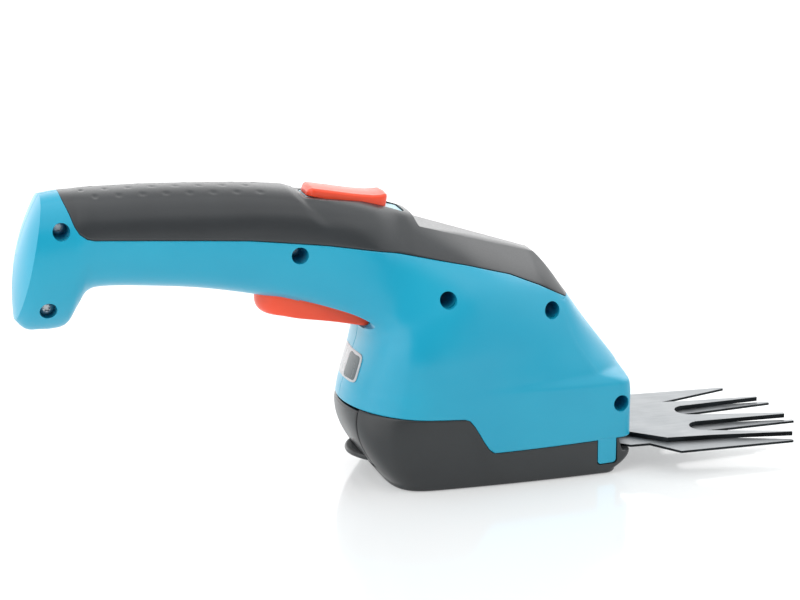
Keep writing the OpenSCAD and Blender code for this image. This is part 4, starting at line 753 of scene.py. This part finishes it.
base = {
    "wide": 68, "floor": 2.2, "edge": 1.6, "edgeSteps": 6, "pad": 0.4, "lip": 9.2, "lipX": (46.9, 48.9),
    "stern": 0.235, "sternRound": 4.2, "nose": 7, "front": 0.9, "edgeIn": 0.02, "padIn": 0.1, "columns": 120,
    "air": 0.4, "padRows": ((0.4, 0.006), (0.1, 0.002), (0, 0)),
    "rows": (0, 0.006, 0.014, 0.026, 0.045, 0.08, 0.15, 0.25, 0.35, 0.45, 0.55, 0.65, 0.75, 0.84, 0.91, 0.96, 1),
}
latch = {
    "wide": 37, "air": 0.5, "rowFrom": 0.035, "rowTo": 0.78, "rows": 26, "columns": 40, "thin": 0.8, "rib": 3,
    "rims": (-0.99, -0.975, 0.975, 0.99), "window": (0.8, 0.6, 0.4, 0.2, 0), "windowLow": 0.95, "windowX": -130,
    "tabLong": 6.2, "tabZ": 9.96, "tabShare": 0.93, "tabSteps": 44, "tabIn": 1.2, "tabLeast": 0.4,
    "tabProfile": ((0, 0.42), (0.3, 0.46), (0.6, 0.5), (0.85, 0.5), (0.95, 0.42), (1, 0.22), (1, 0.02),
                   (0.96, -0.16), (0.85, -0.28), (0.6, -0.38), (0.3, -0.48), (0, -0.55)),
    "pin": 2.5, "hingeGap": 1.1, "hingeIn": 2.4, "hingeDown": 1.2, "hingeShare": 0.27, "hingeAir": 0.2,
    "arm": ((-6.6, -3), (-6.6, 1.2), (0, 1.2), (0, -1.2)),
}


def baseTop(x):
    return lerp(seamDrop(x), base["lip"], ease(x, *base["lipX"]))


def basePoint(t, q, d=0):
    r = station(lastStation)
    k = plan(q, lerp(r[8], base["front"], t), 0, lerp(2, base["sternRound"], t))
    rear = -shell["bodyRear"] * (1 - base["stern"] * t * t)
    front = shell["nose"] - base["nose"] * t * t
    x = lerp(rear + d, front - d, k[0])
    x0 = lerp(-shell["bodyRear"] + d, shell["nose"] - d, k[0])
    low = base["pad"] + (base["floor"] if d > 1 else base["edge"])
    return x, -k[1] * (lerp(r[4], base["wide"] / 2, t) - d), lerp(baseTop(x0), low, t)


def baseBottom(q, z, inset):
    p = basePoint(1, q)
    return lerp(p[0], (shell["nose"] - shell["bodyRear"]) / 2, inset), p[1] * (1 - inset), z


baseShares = [i / base["columns"] for i in range(base["columns"] + 1)]


def ringOf(point):  # a right half and its mirror image
    points = [point(q) for q in baseShares]
    return points + [(x, -y, z) for x, y, z in points[-2:0:-1]]


def baseRim(t, q):  # a point of the wall, sunk near its top rim
    return basePoint(t, q, rolled(dist(basePoint(t, q), basePoint(0, q)), shell["edgeRound"]))


baseRings = [ringOf(lambda q: basePoint(t, q, wall)) for t in base["rows"][::-1]]
baseRings += [ringOf(lambda q: baseRim(t, q)) for t in base["rows"]]
for k in range(1, base["edgeSteps"] + 1):
    a = pi / 2 * k / base["edgeSteps"]
    z = base["pad"] + base["edge"] * (1 - sin(a))
    baseRings.append(ringOf(lambda q: baseBottom(q, z, base["edgeIn"] * (1 - cos(a)))))
for z, back in base["padRows"]:
    baseRings.append(ringOf(lambda q: baseBottom(q, z, base["padIn"] - back)))
baseFaces = loftFaces(len(baseRings), len(baseRings[0]))
baseCover = meshObject("baseCover", [p for ring in baseRings for p in ring], baseFaces, "base_grey", "frame",
                       "base_cover")


def latchPoint(t, k, d):
    half = lerp(shell["bodyWide"], base["wide"], t) / 2
    reach = ((latch["wide"] / 2 - latch["air"]) / half) ** (lerp(2, base["sternRound"], t) / 2)
    q = shell["planTurns"][0] * asin(reach) / (pi / 2) * abs(k)
    x, y, z = basePoint(t, q, d)
    return x, abs(y) if k < 0 else -abs(y), z


def latchBack(t):
    return latchPoint(t, 1, wall)[0] + base["air"]


latchLow = latch["tabZ"] - latch["rib"]
window = [(latch["windowX"], above), (latch["windowX"], latchLow), (latchBack(latch["windowLow"]), latchLow)]
window += [(latchBack(t), basePoint(t, 0)[2]) for t in latch["window"]] + [(latchBack(0), above)]
cut(baseCover, prism(window, -latch["wide"] / 2, latch["wide"] / 2))
cut(baseCover, *[tongueParts(s, base["air"]) for s in (-1, 1)])
cleanMesh(baseCover)

latchShares = [lerp(latch["rowFrom"], latch["rowTo"], i / latch["rows"]) for i in range(latch["rows"] + 1)]
latchSides = {2 * i / latch["columns"] - 1 for i in range(latch["columns"] + 1)}
latchSides = sorted(latchSides | set(latch["rims"]))
panel = []
for t in latchShares:
    for k in latchSides:
        p = latchPoint(t, k, 0)
        rims = latchPoint(t, copysign(1, k), 0), latchPoint(latchShares[0], k, 0)
        panel.append(latchPoint(t, k, rolled(min(dist(p, rim) for rim in rims), shell["edgeRound"])))
panel += [latchPoint(t, k, wall * latch["thin"]) for t in latchShares for k in latchSides]
tabX = basePoint(latch["rowTo"], 0)[0]
tabRound = latch["wide"] / 2
tabPoints = []
for i in range(latch["tabSteps"] + 1):
    y = -(tabRound - latch["air"]) * cos(pi * i / latch["tabSteps"]) * latch["tabShare"]
    tip = tabX - latch["tabLong"] + tabRound - sqrt(tabRound ** 2 - y * y)
    root = basePoint(latch["rowTo"], shell["planTurns"][0] * abs(y) / latch["wide"])[0] + latch["tabIn"]
    root = max(root, tip + latch["tabLeast"])
    tabPoints += [(lerp(root, tip, s), y, latch["tabZ"] + z * latch["rib"]) for s, z in latch["tabProfile"]]
hingeX = -shell["bodyRear"] + wall + latch["pin"] * latch["hingeIn"]
hingeZ = shell["seamRear"] - latch["hingeGap"] - latch["pin"] * latch["hingeDown"]
hingeHalf = latch["wide"] * latch["hingeShare"] - latch["hingeAir"]
latchFaces = slabFaces(len(latchShares), len(latchSides))
latchLever = meshObject("latchLever", panel, latchFaces, "base_grey", "latch", "latch_lever")
join(latchLever, (tabPoints, loftFaces(latch["tabSteps"] + 1, len(latch["tabProfile"]))))
join(latchLever, prism([(hingeX + x, hingeZ + z) for x, z in latch["arm"]], -hingeHalf, hingeHalf))
join(latchLever, bar(hingeX, hingeZ, (latch["pin"] + wall) / 2, -hingeHalf, hingeHalf))
cut(latchLever, bar(hingeX, hingeZ, latch["pin"] / 2 + fit, -clear, clear, 24))
cleanMesh(latchLever)
print("base cover and latch:", len(baseCover.data.polygons), len(latchLever.data.polygons), "faces")


# lock slider and trigger

slider = {
    "long": 33.8, "wide": 15, "from": -20.28, "high": 8.4, "air": 0.4, "corner": 3.4, "topRound": 1.3, "steps": 60,
    "ends": (0.0015, 0.9985), "rim": 0.25, "crown": 0.35, "crownDown": 0.1, "stem": (9, 5, 7), "stemRound": 0.6,
    "saddle": ((0, 0.269), (0.015, 0.359), (0.05, 0.419), (0.2, 0.439), (0.42, 0.459), (0.62, 0.479), (0.8, 0.539),
               (0.9, 0.62), (0.95, 0.69), (0.98, 0.68), (1, 0.6)),
}


def saddleHigh(s):  # straight runs, eased at both ends
    line = slider["saddle"]
    for i, ((s0, h0), (s1, h1)) in enumerate(zip(line, line[1:])):
        if s <= s1:
            t = (s - s0) / (s1 - s0)
            return lerp(h0, h1, ease(t, 0, 1) if i in (0, len(line) - 2) else t)


def sliderRing(s):
    x = slider["from"] + s * slider["long"]
    end = min(s, 1 - s) * slider["long"]
    radius, soft = slider["corner"], slider["topRound"]
    half = slider["wide"] / 2 - (radius - sqrt(max(radius ** 2 - max(radius - end, 0) ** 2, 0)))
    top = slider["air"] + slider["high"] * saddleHigh(s) - rolled(end, soft)
    low = slider["air"] + slider["rim"]
    line = [(-half, low), (-half, lerp(low, top - soft, 0.5)), (-half, top - soft)]
    for k in range(1, 6):
        a = pi / 2 * k / 6
        line.append((-half + soft * (1 - cos(a)), top - soft + soft * sin(a)))
    inner = half - soft
    for k in range(9):
        y = -inner + 2 * inner * k / 8
        line.append((y, top + slider["crown"] * (1 - (y / max(inner, 0.1)) ** 2) - slider["crownDown"]))
    line += [(-y, z) for y, z in line[7::-1]]
    return [(x, y, z) for y, z in line]


sliderShares = [0.5 - 0.5 * cos(pi * i / slider["steps"]) for i in range(slider["steps"] + 1)]
sliderShares[0], sliderShares[-1] = slider["ends"]
sliderRings = [sliderRing(s) for s in sliderShares]
sliderFaces = loftFaces(len(sliderRings), len(sliderRings[0]))
sliderMiddle = slider["from"] + slider["long"] / 2
stemLong, stemWide, stemDeep = slider["stem"]
stemFrom, stemTo = sliderMiddle - stemLong / 2, sliderMiddle + stemLong / 2
sliderPoints = onTrack([p for ring in sliderRings for p in ring])
lockSlider = meshObject("lockSlider", sliderPoints, sliderFaces, "orange", "slider", "lock_slider")
join(lockSlider, trackPart(*roundedBox(stemFrom, stemTo, stemWide / 2, -stemDeep, 2, slider["stemRound"])))
cleanMesh(lockSlider, 40)

trigger = {
    "wide": 20, "round": 1.2, "pivot": (0.018, 0.602), "pin": 3, "spring": (-0.222, 0.69), "springBore": 8,
    "springBack": 0.5, "nibX": -76.824, "nib": 2.4, "nibTop": 87.1, "slices": 40, "blend": 19, "bow": 0.93,
    "outline": ((-0.2640, 0.6350), (-0.2636, 0.6182), (-0.2625, 0.5990), (-0.2555, 0.5810), (-0.2420, 0.5686),
                (-0.2198, 0.5636), (-0.1387, 0.5506), (-0.0441, 0.5352), (0.0213, 0.5223), (0.0636, 0.5145),
                (0.0855, 0.5140), (0.0928, 0.5234), (0.0885, 0.5350)),
    "back": ((0.056, 0.62), (-0.002, 0.645), (-0.10, 0.656), (-0.19, 0.675), (-0.258, 0.69)),
}
outline = curved(sidePoints(trigger["outline"])) + sidePoints(trigger["back"])
triggerRear = min(x for x, z in outline)
halfWide, count = trigger["wide"] / 2, len(outline)
triggerPoints = []
for i in range(trigger["slices"] + 1):
    y = -halfWide * cos(pi * i / trigger["slices"])
    sink = rolled(halfWide - abs(y), trigger["round"])
    back = halfWide - sqrt(max(halfWide ** 2 - y * y, 0))
    for k, (x, z) in enumerate(outline):
        (xa, za), (xb, zb) = outline[k - 1], outline[(k + 1) % count]
        long = hypot(xb - xa, zb - za)
        x, z = x - sink * (zb - za) / long, z + sink * (xb - xa) / long
        x += trigger["bow"] * back * (1 - ease(x, triggerRear, triggerRear + trigger["blend"]))
        triggerPoints.append((x, y, z))
triggerFaces = loftFaces(trigger["slices"] + 1, count)
fingerTrigger = meshObject("fingerTrigger", triggerPoints, triggerFaces, "orange", "trigger", "trigger")
(pivotX, pivotZ), (springX, springZ) = sidePoints([trigger["pivot"], trigger["spring"]])
springFoot = springZ - wall
nib, nibX, nibTop = trigger["nib"], trigger["nibX"], trigger["nibTop"]
join(fingerTrigger, prism([(nibX - nib, pivotZ), (nibX + nib, pivotZ), (nibX + nib, nibTop), (nibX - nib, nibTop)],
                          -nib, nib))
cut(fingerTrigger, bar(pivotX, pivotZ, trigger["pin"] / 2 + fit, -20, 20, 32))
cut(fingerTrigger, post(springX - trigger["springBack"], trigger["springBore"] / 2, springFoot, springFoot + clear,
                        32))  # pocket with room for its swing
cleanMesh(fingerTrigger, 40)
print("slider and trigger:", len(lockSlider.data.polygons), len(fingerTrigger.data.polygons), "faces")


# housing screws with a six-lobe recess

screw = {"turns": 36, "lobes": 48, "recess": (1.35, 0.28), "recessY": (6, 1.1), "headShare": 0.4}
headRadius, shaftRadius, seat = housing["screwHead"] / 2, housing["screw"] / 2, housing["seat"]
headDeep = housing["screwHead"] * screw["headShare"]
screwLine = (
    (0, -headDeep - 0.25), (0.6, -headDeep - 0.24), (1.4, -headDeep - 0.16), (2.1, -headDeep + 0.05),
    (headRadius - 0.25, -headDeep + 0.35), (headRadius, -headDeep + 0.8), (headRadius, -0.15),
    (headRadius - 0.15, 0), (shaftRadius, 0), (shaftRadius, 2 * seat - 1), (0, 2 * seat - 0.2),
)
screwFaces = loftFaces(len(screwLine), screw["turns"], False)
screwParts, recessParts = [], []
for x, z in screwPoints:
    screwParts.append(([(a, -seat + y, b) for r, y in screwLine for a, b in circle(r, screw["turns"], x, z)],
                       screwFaces))
    star = []
    for k in range(screw["lobes"]):
        a = 2 * pi * k / screw["lobes"]
        radius = screw["recess"][0] + screw["recess"][1] * cos(6 * a)
        star.append((x + radius * cos(a), z + radius * sin(a)))
    recessParts.append(prism(star, -seat - screw["recessY"][0], -seat - screw["recessY"][1]))
housingScrews = meshObject("housingScrews", *several(screwParts), "zinc_steel", "frame", "housing_screws")
cut(housingScrews, *recessParts)
cleanMesh(housingScrews, 40)


# blank plate on the rear wall

plate = {
    "u": (15.4, 18.1), "q": 0.078, "lift": 0.04, "thick": 0.5, "square": 7, "rings": 12, "turns": 72,
    "rim": (0.93, 1), "rimDown": 0.12, "panel": (0.44, 0, 0.48, 0.86), "panelZ": (0.05, 0.06),
}


def platePoint(across, down, d):  # across the rear wall from -1 to 1, both sides of its middle
    x, y, z = skin(lerp(*plate["u"], 0.5 + down / 2), plate["q"] * abs(across), d)
    return x, y if across > 0 else -y, z


def plateObject(name, centre, size, low, high, slot):
    points = []
    turns, rings = plate["turns"], plate["rings"]
    for ring in range(rings + 2):  # the last ring is the foot of the rim
        r = min(ring / rings, 1)
        up = low if ring > rings else lerp(high, high - plate["rimDown"], ease(r, *plate["rim"]))
        for c, s in circle(1, turns):
            across = centre[0] + size[0] * r * bulged(c, plate["square"])
            down = centre[1] + size[1] * r * bulged(s, plate["square"])
            points.append(platePoint(across, down, -up))
    return meshObject(name, points, loftFaces(rings + 2, turns, False), slot, "frame")


labelPlate = plateObject("labelPlate", (0, 0), (1, 1), plate["lift"], plate["thick"], "label_white")
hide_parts("label_plate")
panelLow, panelHigh = plate["thick"] - plate["panelZ"][0], plate["thick"] + plate["panelZ"][1]
labelPanel = plateObject("labelPanel", plate["panel"][:2], plate["panel"][2:], panelLow, panelHigh, "label_white")
labelPanel.data.materials[0] = panelGrey
print("screws and plate made")


# slider bed, springs and leads

bed = {
    "from": -20.68, "to": 20.92, "wide": 15, "corner": 2.2, "tab": (-24.08, -18.08, 7.5, 2.88), "slotAir": (0.4, 7.4),
    "slotHalf": 2.9, "slotRound": 0.6, "lugAway": 12, "lugHalf": 2.5, "lap": 0.8, "soft": 0.3,
}
bedBox = roundedBox(bed["from"], bed["to"], bed["wide"] / 2, -cover["bed"], 0, bed["corner"])
sliderBed = meshObject("sliderBed", *bedBox, "bed_blue", "frame", "slider_bed")
tabFrom, tabTo, tabWide, tabDeep = bed["tab"]
lugFrom = sliderMiddle + stemLong / 2 + bed["lugAway"]
cut(sliderBed, roundedBox(stemFrom - bed["slotAir"][0], stemTo + bed["slotAir"][1], bed["slotHalf"], -20, 20,
                          bed["slotRound"]))
join(sliderBed, roundedBox(tabFrom, tabTo, tabWide / 2, -tabDeep, -bed["lap"], bed["soft"]),
     roundedBox(lugFrom, lugFrom + cover["bed"], bed["lugHalf"], -stemDeep, -bed["lap"], bed["soft"]))
for step in (Matrix.Diagonal((1 / mm, 1 / mm, 1 / mm, 1)), trackTurn, Matrix.Diagonal((mm, mm, mm, 1))):
    sliderBed.data.transform(step)
cleanMesh(sliderBed)


def tubeParts(line, radius, sides=12):  # round wire along a line of points
    points = []
    side = None
    for i, p in enumerate(line):
        ahead = (Vector(line[min(i + 1, len(line) - 1)]) - Vector(line[max(i - 1, 0)])).normalized()
        side = (side - ahead * side.dot(ahead)).normalized() if side else ahead.orthogonal().normalized()
        up = ahead.cross(side)
        for a in (2 * pi * k / sides for k in range(sides)):
            points.append(tuple(Vector(p) + (side * cos(a) + up * sin(a)) * radius))
    return points, loftFaces(len(line), sides)


spring = {
    "wire": 0.6, "perTurn": 28, "flat": (0.06, 0.94), "pitch": (0.35, 0.65), "sliderRadius": 1.9, "sliderLong": 12,
    "sliderTurns": 6, "triggerRadius": 2.4, "triggerLong": 12.4, "triggerTurns": 7,
}
half = spring["wire"] / 2


def coilLine(kind):  # wound line along Z, its end turns lying flatter
    radius, long = spring[kind + "Radius"], spring[kind + "Long"] - 2 * half
    steps = spring[kind + "Turns"] * spring["perTurn"]
    line = []
    for i in range(steps + 1):
        a, t = 2 * pi * i / spring["perTurn"], i / steps
        rise = ease(t, *spring["flat"]) * spring["pitch"][0] + t * spring["pitch"][1]
        line.append((radius * cos(a), radius * sin(a), lerp(0, long, rise)))
    return line


coilFrom = stemTo
coilUp = -stemDeep + spring["sliderRadius"] + spring["wire"]
coil = onTrack([(coilFrom + half + z, y, coilUp - x) for x, y, z in coilLine("slider")])
sliderSpring = meshObject("sliderSpring", *tubeParts(coil, half), "spring_steel", "frame", "slider_spring")
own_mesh(sliderSpring)
coil = [(springX + x, y, springFoot + half + z) for x, y, z in coilLine("trigger")]
triggerSpring = meshObject("triggerSpring", *tubeParts(coil, half), "spring_steel", "frame", "trigger_spring")
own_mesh(triggerSpring)
lead = {
    "thick": 1.6, "steps": 12,
    "battery": ((-105.765, 0, 111.312), (-100.993, 0, 115.176), (-75.036, 7.992, 105.984), (-60.007, 10.008, 99.968),
                (-55.85, 10.008, 86.88)),
    "motor": ((-31.7, 8.28, 70.8), (-36.389, 9.991, 74.004), (-39.398, 8.998, 83.68)),
}


def leadParts(line):
    return tubeParts(curved(line, lead["steps"]), lead["thick"] / 2)


motorRuns = [leadParts([(x, s * y, z) for x, y, z in lead["motor"]]) for s in (-1, 1)]
meshObject("batteryLeads", *leadParts(lead["battery"]), "red_lead", "frame", "battery_leads")
meshObject("motorLeads", *several(motorRuns), "black_lead", "frame", "motor_leads")
print("bed, springs and leads made")


# materials of the other pieces

nodeSlots = {
    "blade_steel": ("lower_blade", "upper_blade"),
    "bright_steel": ("trigger_pin", "motor_shaft", "idler_axle", "latch_pin", "crank_roller", "motor_can"),
    "nickel": ("front_contact", "rear_contact"),
    "zinc_steel": ("motor_plate_screws", "plate_screws", "blade_bolt", "blade_washer", "blade_nut", "blade_screws"),
    "black_plastic": ("switch_body", "charge_socket", "motor_cap"), "red_plastic": ("switch_plunger",),
    "cell_wrap": ("battery_cell",), "board_green": ("control_board",), "brass": ("motor_pinion", "crank_bush"),
    "nylon": ("idler_gear", "crank_gear"), "plate_metal": ("gear_plate", "motor_plate"),
}
for slot, names in nodeSlots.items():
    for name in names:
        mesh = nodes[name].data
        mesh.materials.clear()
        mesh.materials.append(finishes[slot])
        for face in mesh.polygons:
            face.material_index = 0
bladeEdge = 0.12
for name in nodeSlots["blade_steel"]:
    soft = nodes[name].modifiers.new("soft edge", "BEVEL")
    soft.width = bladeEdge * mm
    soft.segments = 2
    soft.limit_method = "ANGLE"
print("inner pieces finished")


# floor, light and camera

studio = {
    "floor": ("#C5C7C7", "#C8CACA"), "floorHalf": 6, "floorGrain": 12.5, "floorGlow": (0.37, 0.7),
    "glowFar": (0.25, 1.4), "worldLight": 0.8, "dimSide": 0.14, "dimFrom": (-0.8, 0.1), "backWall": 0.8,
    "backFrom": (0.3, 0.9), "cameraAt": (-353.7, -1117.1, 378.1), "cameraTo": (-39.1, 0, 72.9), "lens": 130.95,
}
lamps = {  # at, toward, size, power
    "key": ((-0.3, -0.5, 1.3), (-0.05, 0, 0.05), (2.4, 1.8), 11),
    "rearSide": ((-1.2, -0.3, 0.6), (-0.1, 0, 0.06), (1.5, 1.2), 7),
    "frontTop": ((1.2, 0.5, 1), (0, 0, 0.06), (1.2, 1), 5.5),
    "frontSide": ((0.9, -0.8, 0.7), (0, 0, 0.06), (1.5, 1.2), 5),
}
side = studio["floorHalf"]
floorMesh = bpy.data.meshes.new("floor")
floorMesh.from_pydata([(-side, -side, 0), (side, -side, 0), (side, side, 0), (-side, side, 0)], [], [(0, 1, 2, 3)])
floor = bpy.data.objects.new("floor", floorMesh)
bpy.context.scene.collection.objects.link(floor)
floorMaterial, tree, place = startMaterial("white acrylic sheet")
grain = addNode(tree, "ShaderNodeTexNoise", inputs={"Scale": studio["floorGrain"], "Detail": 2}).outputs["Fac"]
far = addNode(tree, "ShaderNodeVectorMath", {"operation": "LENGTH"}, {0: place}).outputs["Value"]
fill(tree, tree.nodes["Principled BSDF"], {
    "Base Color": spread(tree, grain, *studio["floor"]), "Roughness": 0.1, "IOR": 1.5,
    "Emission Color": (1, 1, 1, 1),  # lit from beneath, more with distance, so that it reads as white
    "Emission Strength": ranged(tree, far, *studio["floorGlow"], *studio["glowFar"])})
floorMesh.materials.append(floorMaterial)

world = bpy.data.worlds.new("studio")
bpy.context.scene.world = world
world.use_nodes = True
tree = world.node_tree
rays = addNode(tree, "ShaderNodeLightPath").outputs
around = addNode(tree, "ShaderNodeTexCoord").outputs["Generated"]
toward = addNode(tree, "ShaderNodeSeparateXYZ", inputs={0: around}).outputs[1]
dim = ranged(tree, toward, studio["dimSide"], 1, *studio["dimFrom"])  # dim in front of the white backdrop
lit = ranged(tree, toward, 0, studio["backWall"], *studio["backFrom"])  # the backdrop itself is lit hard
glossy = ranged(tree, rays["Is Glossy Ray"], studio["worldLight"], 1)
room = combine(tree, "MULTIPLY", combine(tree, "ADD", dim, lit), glossy)
seen = combine(tree, "MAXIMUM", rays["Is Camera Ray"], rays["Is Transmission Ray"])
fill(tree, tree.nodes["Background"], {"Color": (1, 1, 1, 1), "Strength": ranged(tree, seen, room, 1)})


def aimed(name, data, at, to, unit=1):  # lamp or camera that looks from one place to another
    thing = bpy.data.objects.new(name, data)
    bpy.context.scene.collection.objects.link(thing)
    thing.location = Vector(at) * unit
    thing.rotation_euler = (Vector(to) - Vector(at)).to_track_quat("-Z", "Y").to_euler()
    return thing


for name, (at, to, size, power) in lamps.items():
    lamp = bpy.data.lights.new(name, "AREA")
    lamp.shape = "RECTANGLE"
    lamp.size, lamp.size_y = size
    lamp.energy = power
    aimed(name, lamp, at, to)
camera = bpy.data.cameras.new("camera")
camera.lens = studio["lens"]
camera.sensor_width = 36
camera.clip_start, camera.clip_end = 0.05, 50
bpy.context.scene.camera = aimed("camera", camera, studio["cameraAt"], studio["cameraTo"], mm)
bpy.context.scene.view_settings.view_transform = "Standard"
print("stage set")
